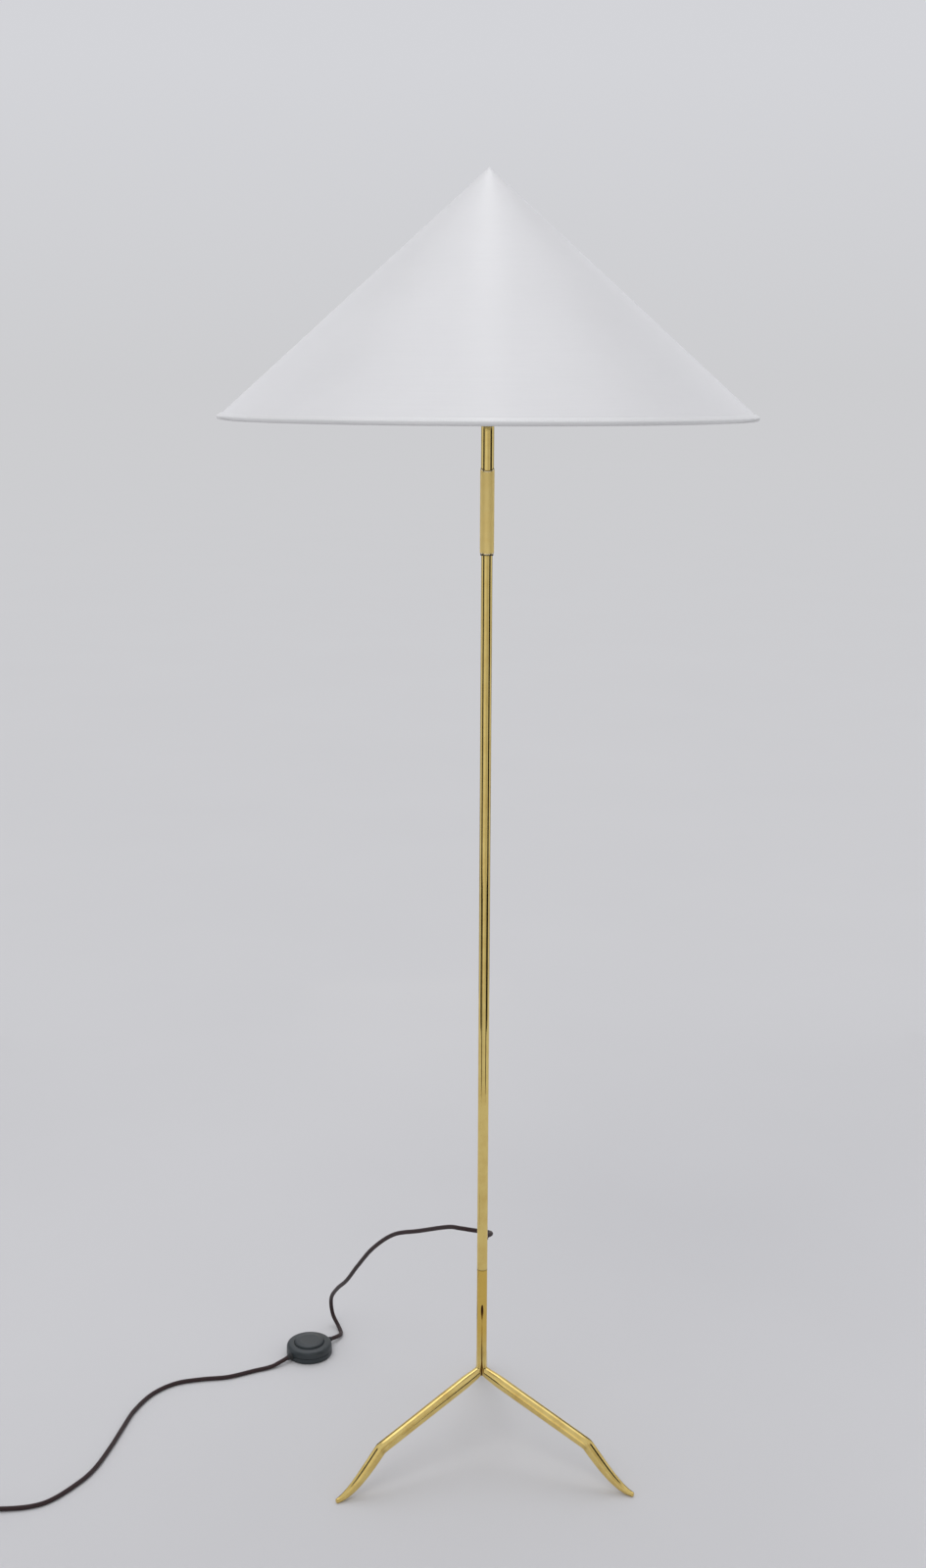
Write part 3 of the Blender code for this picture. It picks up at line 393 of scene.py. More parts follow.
def textile_cord(name):
    """Round braid of two sets of yarns, dark maroon, with a few lighter fibres."""
    material, n = new_material(name)
    grain, turn, along = n.wrap(0.003)
    around = n.math("MULTIPLY", turn, math.tau * BRAID_YARNS)
    pitch = n.math("MULTIPLY", along, math.tau * BRAID_YARNS / BRAID_PITCH)
    left = n.math("SINE", n.math("ADD", around, pitch))
    right = n.math("SINE", n.math("SUBTRACT", around, pitch))
    over = n.math("GREATER_THAN", n.math("MULTIPLY", left, right), 0.0)
    yarn = n.math("MAXIMUM", n.math("ABSOLUTE", left), n.math("ABSOLUTE", right))
    fibre = n.noise(grain, 2600.0, 3.0)
    base = n.mix(over, (0.016, 0.0065, 0.007), (0.030, 0.010, 0.011))
    worn = n.ramp(fibre, [(0.55, 0.0), (0.80, 0.45)])
    colour = n.mix(worn, base, (0.085, 0.032, 0.032))
    height = n.math("ADD", yarn, n.math("MULTIPLY", fibre, 0.4))
    rough = n.ramp(fibre, [(0.3, 0.62), (0.7, 0.85)])
    n.plug(colour=colour, roughness=rough, normal=n.bump(height, 0.8, 0.00025))
    n.plug(**{"Sheen Weight": 0.15, "Sheen Roughness": 0.4})
    return material


def moulded(name, colour, roughness, grain=1800.0, depth=0.00003, dust=0.25):
    """Moulded plastic or rubber: fine grain, mottling, and paler scuffs and dust in random streaks."""
    material, n = new_material(name)
    where = n.object_space()
    fine = n.noise(where, grain, 2.0)
    cloud = n.noise(where, 70.0, 4.0)
    scuff = n.ramp(n.noise(n.stretched(where, (1.0, 3.0, 1.0)), 240.0, 5.0, 0.7), [(0.58, 0.0), (0.72, 1.0)])
    tone = n.mix(n.ramp(cloud, [(0.3, 0.0), (0.75, 1.0)]), colour, tuple(1.25 * c + 0.002 for c in colour))
    tone = n.mix(n.math("MULTIPLY", scuff, dust), tone, tuple(1.5 * c + 0.02 for c in colour))
    rough = n.varied(roughness, cloud, 0.18)
    rough = n.math("ADD", rough, n.math("MULTIPLY", scuff, 0.08))
    n.plug(colour=tone, roughness=rough, normal=n.bump(fine, 0.4, depth))
    return material


def bare_metal(name, colour, roughness):
    """Plated steel or aluminium with fine scratches."""
    material, n = new_material(name)
    where = n.object_space()
    scratch = n.noise(n.stretched(where, (1.0, 1.0, 9.0)), 700.0, 4.0)
    cloud = n.noise(where, 120.0, 3.0)
    tone = n.mix(n.ramp(cloud, [(0.35, 0.0), (0.75, 0.6)]), colour, tuple(0.72 * c for c in colour))
    rough = n.varied(roughness, scratch, 0.25)
    n.plug(colour=tone, roughness=rough, normal=n.bump(scratch, 0.3, 0.00003), metallic=1.0)
    return material


def glossy(name, colour, roughness, subsurface=0.0):
    """Opal glass, glazed or enamelled surface with slight waviness."""
    material, n = new_material(name)
    where = n.object_space()
    cloud = n.noise(where, 45.0, 3.0)
    fine = n.noise(where, 900.0, 2.0)
    tone = n.mix(n.ramp(cloud, [(0.3, 0.0), (0.75, 0.5)]), colour, tuple(0.93 * c for c in colour))
    rough = n.varied(roughness, fine, 0.1)
    n.plug(colour=tone, roughness=rough, normal=n.bump(cloud, 0.15, 0.0001))
    n.plug(**{"Subsurface Weight": subsurface})
    n.shader.inputs["Subsurface Radius"].default_value = (0.004, 0.004, 0.004)
    return material


def make_materials():
    brasses = {
        "polished_brass": ((0.85, 0.655, 0.235), (0.66, 0.45, 0.12), (0.05, 0.11), 0.8, 0.45),
        "leg_brass": ((0.84, 0.645, 0.235), (0.62, 0.41, 0.11), (0.09, 0.20), 0.8, 0.6, True),
        # Paler brass; on the grip's end bands it is a painted highlight.
        "bright_brass": ((0.95, 0.82, 0.52), (0.80, 0.62, 0.30), (0.16, 0.24), 0.5, 0.2),
        "satin_brass": ((1.0, 0.80, 0.33), (0.94, 0.74, 0.29), (0.58, 0.68), 0.6, 0.4),
    }
    return {
        **{name: brass(name, *look) for name, look in brasses.items()},
        "shade_fabric": shade_fabric("shade_fabric", (0.800, 0.798, 0.803)),
        "hem_tape": shade_fabric("hem_tape", (0.80, 0.80, 0.80), stitch=True),
        "textile_cord": textile_cord("textile_cord"),
        "switch_plastic": moulded("switch_plastic", (0.020, 0.0262, 0.0295), 0.42),
        "plug_plastic": moulded("plug_plastic", (0.018, 0.019, 0.021), 0.38),
        "rubber": moulded("rubber", (0.016, 0.016, 0.017), 0.62),
        "nylon": moulded("nylon", (0.10, 0.075, 0.045), 0.5),
        "bakelite": moulded("bakelite", (0.045, 0.022, 0.014), 0.3),
        "inner_flex": moulded("inner_flex", (0.60, 0.58, 0.53), 0.5),
        "white_wire": glossy("white_wire", (0.80, 0.80, 0.78), 0.35),
        "steel": bare_metal("steel", (0.62, 0.61, 0.59), 0.28),
        "bulb_metal": bare_metal("bulb_metal", (0.74, 0.74, 0.72), 0.24),
        "ceramic": glossy("ceramic", (0.82, 0.81, 0.77), 0.45),
        "opal_glass": glossy("opal_glass", (0.90, 0.90, 0.88), 0.16, 0.3),
        "black_glass": glossy("black_glass", (0.02, 0.02, 0.022), 0.12),
    }


# ---------------------------------------------------------------- geometry helpers


def direction(angle):
    return Vector((math.cos(math.radians(angle)), math.sin(math.radians(angle)), 0.0))


def level_frame(angle, origin=(0.0, 0.0), height=0.0):
    """Frame whose Z axis runs level at this azimuth."""
    turn = Matrix.Rotation(math.radians(angle), 4, "Z") @ Matrix.Rotation(math.radians(90.0), 4, "Y")
    return Matrix.Translation((origin[0], origin[1], height)) @ turn


def linked(name, data):
    """New object in the scene for this data."""
    obj = bpy.data.objects.new(name, data)
    bpy.context.scene.collection.objects.link(obj)
    return obj


def discard(*helpers):
    for helper in helpers:
        bpy.data.objects.remove(helper, do_unlink=True)


def grid_mesh(name, rows, closed_ends=(None, None), matrix=None, loop=False):
    """Mesh through rings of points, with a wrap UV: turns round, and metres along."""
    rows = [[Vector(point) for point in row] for row in rows]
    sides = len(rows[0])
    lengths = [0.0]
    for before, after in zip(rows, rows[1:]):
        lengths.append(lengths[-1] + max((b - a).length for a, b in zip(before, after)))
    verts = [point for row in rows for point in row]
    faces = []
    uvs = []
    last = len(rows) if loop else len(rows) - 1
    closing = (rows[0][0] - rows[-1][0]).length
    for i in range(last):
        j = (i + 1) % len(rows)
        end = lengths[i] + closing if j == 0 else lengths[j]
        for k in range(sides):
            m = (k + 1) % sides
            faces.append((i * sides + k, i * sides + m, j * sides + m, j * sides + k))
            left, right = k / sides, (k + 1) / sides
            uvs += [(left, lengths[i]), (right, lengths[i]), (right, end), (left, end)]
    for at_start, tip, row, along in (
        (True, closed_ends[0], 0, lengths[0]),
        (False, closed_ends[1], len(rows) - 1, lengths[-1]),
    ):
        if tip is None:
            continue
        middle = len(verts)
        verts.append(Vector(tip))
        for k in range(sides):
            m = (k + 1) % sides
            a, b = row * sides + k, row * sides + m
            faces.append((b, a, middle) if at_start else (a, b, middle))
            spots = [((k + 1) / sides, along), (k / sides, along), ((k + 0.5) / sides, along)]
            uvs += spots if at_start else [spots[1], spots[0], spots[2]]
    mesh = bpy.data.meshes.new(name)
    mesh.from_pydata(verts, [], faces)
    layer = mesh.uv_layers.new(name="wrap")
    layer.data.foreach_set("uv", [value for pair in uvs for value in pair])
    obj = linked(name, mesh)
    if matrix:
        obj.matrix_world = matrix
    return obj


def with_fillets(profile, closed):
    """(radius, height, fillet) points with each corner that has a fillet rounded off."""
    out = []
    count = len(profile)
    for index, point in enumerate(profile):
        here = Vector(point[:2])
        fillet = point[2] if len(point) > 2 else 0.0
        inner = closed or 0 < index < count - 1
        if not fillet or not inner:
            out.append(here)
            continue
        before = Vector(profile[index - 1][:2]) - here
        after = Vector(profile[(index + 1) % count][:2]) - here
        reach = min(fillet, 0.49 * before.length, 0.49 * after.length)
        start = here + before.normalized() * reach
        end = here + after.normalized() * reach
        for step in range(5):
            t = step / 4
            out.append((1 - t) ** 2 * start + 2 * t * (1 - t) * here + t**2 * end)
    return out


def turned(name, profile, material, facets=ROUND, matrix=None, sharp=32.0):
    """Turned piece from (radius, height[, fillet]) points that run down its outer side."""
    closed = not (profile[0][0] == 0.0 and profile[-1][0] == 0.0)
    points = with_fillets(profile, closed)
    ends = (None, None)
    if not closed:
        ends = ((0.0, 0.0, points[0].y), (0.0, 0.0, points[-1].y))
        points = points[1:-1]
    spokes = [direction(360.0 * k / facets) for k in range(facets)][::-1]
    rows = [[spoke * radius + Vector((0.0, 0.0, height)) for spoke in spokes] for radius, height in points]
    obj = grid_mesh(name, rows, ends, matrix, loop=closed)
    return finished(obj, material, sharp)


def finished(obj, material, sharp=32.0):
    mesh = obj.data
    shape = bmesh.new()
    shape.from_mesh(mesh)
    bmesh.ops.recalc_face_normals(shape, faces=shape.faces)
    shape.to_mesh(mesh)
    shape.free()
    mesh.shade_smooth()
    mesh.set_sharp_from_angle(angle=math.radians(sharp))
    mesh.materials.clear()
    mesh.materials.append(material)
    return obj


def swept(name, path, radii, sides, material, capped=True, flatten=1.0):
    """Round bar along a path, with a radius at each point; its section never twists."""
    path = [Vector(point) for point in path]
    if isinstance(radii, float):
        radii = [radii] * len(path)
    tangents = []
    for index in range(len(path)):
        before = path[max(index - 1, 0)]
        after = path[min(index + 1, len(path) - 1)]
        tangents.append((after - before).normalized())
    side = tangents[0].orthogonal().normalized()
    rows = []
    for index, (point, tangent, radius) in enumerate(zip(path, tangents, radii)):
        side = (side - tangent * side.dot(tangent)).normalized()
        other = tangent.cross(side)
        row = []
        for k in range(sides):
            angle = math.tau * k / sides
            row.append(point + (side * math.cos(angle) + other * math.sin(angle) * flatten) * radius)
        rows.append(row)
    ends = (path[0], path[-1]) if capped else (None, None)
    return finished(grid_mesh(name, rows, ends), material, 40.0)


def smooth_route(points, step):
    """Points a step apart on the smooth curve through the route points."""
    knots = [Vector(point) for point in points]
    ends = [2 * knots[0] - knots[1]] + knots + [2 * knots[-1] - knots[-2]]
    fine = []
    for index in range(1, len(ends) - 2):
        before, start, end, after = ends[index - 1 : index + 3]
        fine += interpolate_bezier(start, start + (end - before) / 6, end - (after - start) / 6, end, 24)[:-1]
    fine.append(knots[-1])
    lengths = [0.0]
    for first, second in zip(fine, fine[1:]):
        lengths.append(lengths[-1] + (second - first).length)
    count = max(2, round(lengths[-1] / step))
    route = []
    segment = 0
    for index in range(count + 1):
        wanted = lengths[-1] * index / count
        while segment < len(fine) - 2 and lengths[segment + 1] < wanted:
            segment += 1
        share = (wanted - lengths[segment]) / (lengths[segment + 1] - lengths[segment])
        route.append(fine[segment].lerp(fine[segment + 1], min(share, 1.0)))
    return route


def apply_modifiers(obj):
    bpy.context.view_layer.update()
    graph = bpy.context.evaluated_depsgraph_get()
    shape = obj.evaluated_get(graph)
    mesh = bpy.data.meshes.new_from_object(shape, preserve_all_data_layers=True, depsgraph=graph)
    obj.modifiers.clear()
    obj.data = mesh
    return obj


def cut(obj, cutter, operation="DIFFERENCE"):
    boolean = obj.modifiers.new("cut", "BOOLEAN")
    boolean.solver = "EXACT"
    boolean.operation = operation
    boolean.object = cutter
    apply_modifiers(obj)


def soil(obj, amount, layer_name="soil"):
    """Stores a layer for the brass at each point, from a function of the point's place: its soil and painted
    shade, or how amber it is.
    """
    values = [amount(obj.matrix_world @ vertex.co) for vertex in obj.data.vertices]
    attributes = obj.data.attributes
    layer = attributes.get(layer_name) or attributes.new(layer_name, "FLOAT", "POINT")
    layer.data.foreach_set("value", values)


def place(obj, body, slot, *nodes):
    """The piece moves with this body and stands for these nodes, which it hides; the slot is not used."""
    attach(obj, body)
    if nodes:
        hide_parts(*nodes)
    return obj


# ---------------------------------------------------------------- tripod


def leg_stations():
    """(distance from the pole's axis, height, bar radius) along one leg."""
    slope = math.atan(LEG_SLOPE)
    turn = math.pi / 2 - slope
    bend_start = LEG_LINE_TOP + LEG_BEND_RADIUS * math.tan(turn / 2)
    stations = []
    neck_steps = 24
    for index in range(neck_steps):
        stations.append((0.0, LEG_TOP + (bend_start - LEG_TOP) * index / neck_steps, NECK_RADIUS))
    bend_steps = 16
    for index in range(bend_steps + 1):
        angle = math.pi + turn * index / bend_steps
        out = LEG_BEND_RADIUS * (1 + math.cos(angle))
        stations.append((out, bend_start + LEG_BEND_RADIUS * math.sin(angle), NECK_RADIUS))
    first = stations[-1][0]
    straight_steps = 30
    for index in range(1, straight_steps):
        out = first + (KNEE[0] - 0.0004 - first) * index / straight_steps
        swell = min(1.0, (out - first) / (LEG_SWELL_END - first))
        swell = swell * swell * (3 - 2 * swell)
        along = (out - first) / (KNEE[0] - first)
        radius = NECK_RADIUS + (LEG_RADIUS - NECK_RADIUS) * swell - (LEG_RADIUS - KNEE_RADIUS) * along
        stations.append((out, LEG_LINE_TOP - LEG_SLOPE * out, radius))
    toe_steps = 40
    corners = [Vector((*point, 0.0)) for point in (KNEE, *TOE_HANDLES, TOE_TIP)]
    toe = interpolate_bezier(*corners, toe_steps + 1)
    for index, point in enumerate(toe):
        share = index / toe_steps
        stations.append((point.x, point.y, KNEE_RADIUS + (TOE_RADIUS - KNEE_RADIUS) * share**2))
    end = stations[-1]
    for out, radius in ((0.0005, 0.90), (0.0009, 0.70), (0.0011, 0.45)):
        stations.append((end[0] + out, end[1], end[2] * radius))
    return stations


def wedge(name, angle):
    """Third of a turn between two seams, with a hair's breadth left at each seam."""
    tip = 0.00002
    reach = 0.3
    side = reach * math.tan(math.radians(60.0))
    outline = [(tip, 0.0), (reach, -side), (reach, side)]
    turn = Matrix.Rotation(math.radians(angle), 4, "Z")
    low, high = -0.005, 0.35
    verts = [turn @ Vector((x, y, z)) for z in (low, high) for x, y in outline]
    faces = [(2, 1, 0), (3, 4, 5), (0, 1, 4, 3), (1, 2, 5, 4), (2, 0, 3, 5)]
    mesh = bpy.data.meshes.new(name)
    mesh.from_pydata(verts, [], faces)
    return linked(name, mesh)


def seam_groove(angle):
    """Cutter that leaves a soft groove down one seam of the neck, a drop at its top and an open crotch."""
    heights = []
    for index in range(13):
        share = index / 12
        bulge = 0.00015 + 0.00165 * math.sin(math.pi * share**0.8) ** 0.8
        heights.append((DROP_TOP - (DROP_TOP - DROP_BOTTOM) * share, bulge))
    heights += [(0.1900, 0.00085), (0.1700, 0.0008), (0.1500, 0.0008), (0.1400, 0.0009), (0.1340, 0.0013)]
    heights += [(0.1290, 0.0021), (0.1240, 0.0031), (0.1180, 0.0042), (0.1080, 0.0052)]
    out = direction(angle)
    path = []
    radii = []
    for height, radius in heights:
        path.append(out * (NECK_RADIUS + 0.00035) + Vector((0.0, 0.0, height)))
        radii.append(radius)
    return swept("groove", path, radii, 20, None)


def neck_soil_and_shade(point):
    """Brown soil in the seams, round the joint and at the knee, and painted shade in the crotch, where the
    legs part.
    """
    angle = math.degrees(math.atan2(point.y, point.x))
    off = min(abs((angle - seam + 180.0) % 360.0 - 180.0) for seam in SEAM_ANGLES)
    across = math.radians(off) * NECK_RADIUS
    radius = math.hypot(point.x, point.y)
    soil_and_shade_mask = 0.0
    if radius < 0.014:
        mottled = max(0.0, 1.0 - abs(point.z - 0.150) / 0.016) * max(0.0, 1.0 - across / 0.0030) * 0.45
        # Painted shade: the crotch where the legs part is darkened as if in their shadow.
        crotch = max(0.0, 1.0 - (Vector((radius, point.z)) - Vector((0.004, 0.118))).length / 0.014)
        crotch *= max(0.0, 1.0 - across / 0.0045)
        joint = max(0.0, 1.0 - abs(point.z - NECK_TOP) / 0.0007) * 0.8
        soil_and_shade_mask = max(mottled, crotch, joint)
    knee = math.hypot(radius - KNEE[0], point.z - KNEE[1])
    return min(1.0, max(soil_and_shade_mask, 0.35 * max(0.0, 1.0 - knee / 0.006)))


def neck_amber(point):
    """The neck's lacquer is darker than the legs'; it pales toward the crotch."""
    return 0.9 * min(1.0, max(0.0, (point.z - 0.140) / 0.045))


def build_legs(materials):
    stations = leg_stations()
    ground = turned("ground", [(0.0, 0.0), (0.3, 0.0), (0.3, -0.02), (0.0, -0.02)], None, 64)
    grooves = [seam_groove(angle) for angle in SEAM_ANGLES]
    for name, angle in LEG_SECTORS.items():
        out = direction(LEG_HEADINGS[name])
        path = [out * distance + Vector((0.0, 0.0, height)) for distance, height, _ in stations]
        leg = swept(f"{name}_bar", path, [radius for _, _, radius in stations], 72, materials["leg_brass"])
        sector = wedge("sector", angle)
        cut(leg, sector, "INTERSECT")
        cut(leg, ground)
        for groove in grooves:
            cut(leg, groove)
        finished(leg, materials["leg_brass"], 28.0)
        soil(leg, neck_soil_and_shade)
        soil(leg, neck_amber, "amber")
        place(leg, "base", "polished_brass", name)
        discard(sector)
    neck_rows = [(0.0, NECK_TOP), (NECK_RADIUS, NECK_TOP, 0.0003)]
    neck_rows += [(NECK_RADIUS, NECK_TOP - 0.0006 * 2**index) for index in range(7)]
    neck_rows += [(NECK_RADIUS, LEG_TOP + 0.0060), (NECK_RADIUS, LEG_TOP), (0.0, LEG_TOP)]
    neck = turned("neck_stub", neck_rows, materials["leg_brass"])
    for groove in grooves:
        cut(neck, groove)
    finished(neck, materials["leg_brass"], 28.0)
    soil(neck, neck_soil_and_shade)
    soil(neck, neck_amber, "amber")
    place(neck, "base", "polished_brass", "base_neck")
    discard(ground, *grooves)


# ---------------------------------------------------------------- pole and stem


def build_pole(materials):
    bottom = NECK_TOP + 0.0002
    rows = [(POLE_RADIUS, POLE_TOP, 0.0004), (POLE_RADIUS, POLE_TOP - 0.01)]
    rows += [(POLE_RADIUS, bottom + 0.9 * (0.5**index)) for index in range(1, 10)]
    rows += [(POLE_RADIUS, bottom, 0.0003), (0.0060, bottom), (0.0060, POLE_TOP)]
    pole = turned("pole_tube", rows, materials["polished_brass"])
    hole_frame = level_frame(CORD_HOLE_ANGLE, height=CORD_HOLE_HEIGHT)
    bore = [(0.0, 0.012), (0.0041, 0.012), (0.0041, 0.002), (0.0, 0.002)]
    hole = turned("hole", bore, None, SMALL_ROUND, hole_frame)
    cut(pole, hole)
    discard(hole)
    finished(pole, materials["polished_brass"])
    soil(pole, lambda p: 0.9 * max(0.0, 1.0 - abs(p.z - NECK_TOP) / 0.0007))
    place(pole, "base", "polished_brass", "lower_pole")
    grommet = turned(
        "cord_bush",
        [
            (0.0033, 0.0094, 0.0002),
            (0.0045, 0.0088, 0.0003),
            (0.0050, 0.0074, 0.0002),
            (0.0038, 0.0074),
            (0.0038, 0.0056),
            (0.0029, 0.0056),
            (0.0029, 0.0094),
        ],
        materials["rubber"],
        SMALL_ROUND,
        hole_frame,
    )
    place(grommet, "base", "rubber", "cord_grommet")


def build_stem(materials):
    stem = turned(
        "stem_tube",
        [
            (STEM_RADIUS, STEM_TOP, 0.0004),
            (STEM_RADIUS, GRIP_TOP + 0.004),
            *[(STEM_RADIUS, GRIP_TOP + 0.0020 - 0.0005 * index) for index in range(13)],
            (STEM_RADIUS, STEM_BOTTOM),
            (0.0075, STEM_BOTTOM),
            (0.0075, STEM_TOP),
        ],
        materials["polished_brass"],
    )
    soil(stem, grip_gap_shadow_and_soil)
    place(stem, "stem", "polished_brass", "upper_stem")
    build_grip(materials)
    bush = turned(
        "bush_flange",
        [
            (STEM_RADIUS + 0.0001, STEM_BOTTOM - 0.0002, 0.0002),
            (STEM_RADIUS + 0.0001, STEM_BOTTOM - 0.0013, 0.0003),
            (0.00708, STEM_BOTTOM - 0.0013),
            (0.00708, STEM_BOTTOM + 0.022),
            (0.00742, STEM_BOTTOM + 0.022),
            (0.00742, STEM_BOTTOM - 0.0002),
        ],
        materials["rubber"],
    )
    place(bush, "slide_bush", "nylon", "friction_bush")


def grip_gap_shadow_and_soil(point):
    """Brown line where the stem enters the grip, along its scooped edge: painted shadow of the gap, with
    soil.
    """
    across = point.y / max(1e-6, math.hypot(point.x, point.y))
    above = point.z - (GRIP_TOP - GRIP_TOP_DIP * across**2)
    return max(0.0, min(1.0, 1.0 - (above - 0.0004) / 0.0010))


def build_grip(materials):
    """Sleeve on the stem: its top dips at the front and back, and its bottom rises at the sides."""
    ends = {
        "grip_ring_upper": (GRIP_TOP, -GRIP_RING_HEIGHT, GRIP_TOP_DIP),
        "grip_ring_lower": (GRIP_BOTTOM, GRIP_RING_HEIGHT, -GRIP_BOTTOM_RISE),
    }
    # The end bands use a paler brass: a painted highlight standing for the bright rims of the sleeve's ends.
    for name, (edge, inward, scoop) in ends.items():
        low, high = sorted((edge, edge + inward))
        ring = turned(
            f"{name}_band",
            [
                (GRIP_RADIUS, high, 0.0004),
                (GRIP_RADIUS, low, 0.0002),
                (GRIP_BORE, low),
                (GRIP_BORE, high),
            ],
            materials["bright_brass"],
        )
        scooped(ring, edge, scoop)
        place(ring, "stem", "bright_brass", name)
    low = GRIP_BOTTOM + GRIP_RING_HEIGHT
    high = GRIP_TOP - GRIP_RING_HEIGHT
    rows = [(GRIP_RADIUS, high, 0.0001)]
    rows += [(GRIP_RADIUS, high + (low - high) * index / 12) for index in range(1, 12)]
    rows += [(GRIP_RADIUS, low, 0.0001), (GRIP_BORE, low), (GRIP_BORE, high)]
    sleeve = turned("grip_tube", rows, materials["satin_brass"])
    scooped(sleeve, GRIP_TOP, GRIP_TOP_DIP)
    scooped(sleeve, GRIP_BOTTOM, -GRIP_BOTTOM_RISE)
    place(sleeve, "stem", "satin_brass", "grip_sleeve")


def scooped(obj, edge, depth):
    """Lowers the front and back of the end at this height; a negative depth raises its sides instead."""
    for vertex in obj.data.vertices:
        near = max(0.0, 1.0 - abs(vertex.co.z - edge) / 0.02)
        across = vertex.co.y / max(1e-6, math.hypot(vertex.co.x, vertex.co.y))
        vertex.co.z -= abs(depth) * near * (across**2 - (0.0 if depth > 0 else 1.0))


# ---------------------------------------------------------------- lampholder and bulb


def build_holder(materials):
    base = STEM_TOP
    cap = turned(
        "holder_cup",
        [
            (0.0190, base + 0.0220, 0.0004),
            (0.0190, base + 0.0130, 0.0020),
            (0.0165, base + 0.0075, 0.0020),
            (0.0110, base + 0.0043, 0.0012),
            (0.0085, base + 0.0003, 0.0004),
            (0.0053, base + 0.0003),
            (0.0053, base + 0.0050),
            (0.0100, base + 0.0056),
            (0.0157, base + 0.0087),
            (0.0182, base + 0.0136),
            (0.0182, base + 0.0220),
        ],
        materials["polished_brass"],
    )
    place(cap, "stem", "polished_brass", "holder_cap")
    body = [(0.0186, base + 0.0575, 0.0003)]
    for index in range(7):
        low = base + 0.0560 - index * 0.0021
        body += [(0.0190, low, 0.0004), (0.0184, low - 0.00105, 0.0004)]
    body += [
        (0.0190, base + 0.0410, 0.0003),
        (0.0235, base + 0.0410, 0.0006),
        (0.0240, base + 0.0390, 0.0006),
        (0.0190, base + 0.0372, 0.0006),
        (0.0190, base + 0.0225, 0.0003),
        (0.0181, base + 0.0225),
        (0.0181, base + 0.0575),
    ]
    place(turned("holder_sleeve", body, materials["polished_brass"]), "stem", "polished_brass", "holder_body")
    ring = turned(
        "shade_ring_nut",
        [
            (0.0250, base + 0.0495, 0.0005),
            (0.0262, base + 0.0483, 0.0004),
            (0.0262, base + 0.0447, 0.0005),
            (0.0193, base + 0.0447),
            (0.0193, base + 0.0495),
        ],
        materials["polished_brass"],
    )
    place(ring, "stem", "polished_brass", "holder_shade_ring")


def build_bulb(materials):
    base = STEM_TOP + 0.0293
    outline = [(0.0, 0.0980)]
    for index in range(1, 25):
        angle = math.radians(90.0 - 4.0 * index)
        outline.append((0.0300 * math.cos(angle), 0.0680 + 0.0300 * math.sin(angle)))
    outline += [(0.0292, 0.0622), (0.0268, 0.0560), (0.0231, 0.0498), (0.0192, 0.0440), (0.0161, 0.0386)]
    outline += [(0.0141, 0.0336), (0.0129, 0.0290), (0.0123, 0.0240), (0.0122, 0.0130)]
    glass = [(radius, base + height) for radius, height in outline]
    glass += [(0.0114, base + 0.0130), (0.0, base + 0.0300)]
    envelope = turned("bulb_envelope", glass, materials["opal_glass"], ROUND, None, 60.0)
    place(envelope, "bulb", "opal_glass", "bulb_glass")
    cap = [(0.0124, base + 0.0262, 0.0003), (0.0131, base + 0.0250)]
    for index in range(5):
        low = base + 0.0235 - index * 0.00363
        cap += [(0.0133, low, 0.0008), (0.0122, low - 0.0018, 0.0008)]
    cap += [(0.0118, base + 0.0060), (0.0100, base + 0.0036), (0.0096, base + 0.0036)]
    cap += [(0.0113, base + 0.0064), (0.0113, base + 0.0262)]
    place(turned("bulb_screw_cap", cap, materials["bulb_metal"]), "bulb", "bulb_metal", "bulb_cap")


# ---------------------------------------------------------------- shade


def cone_radius(height):
    return COVER_EDGE[0] * (APEX - height) / (APEX - COVER_EDGE[1])


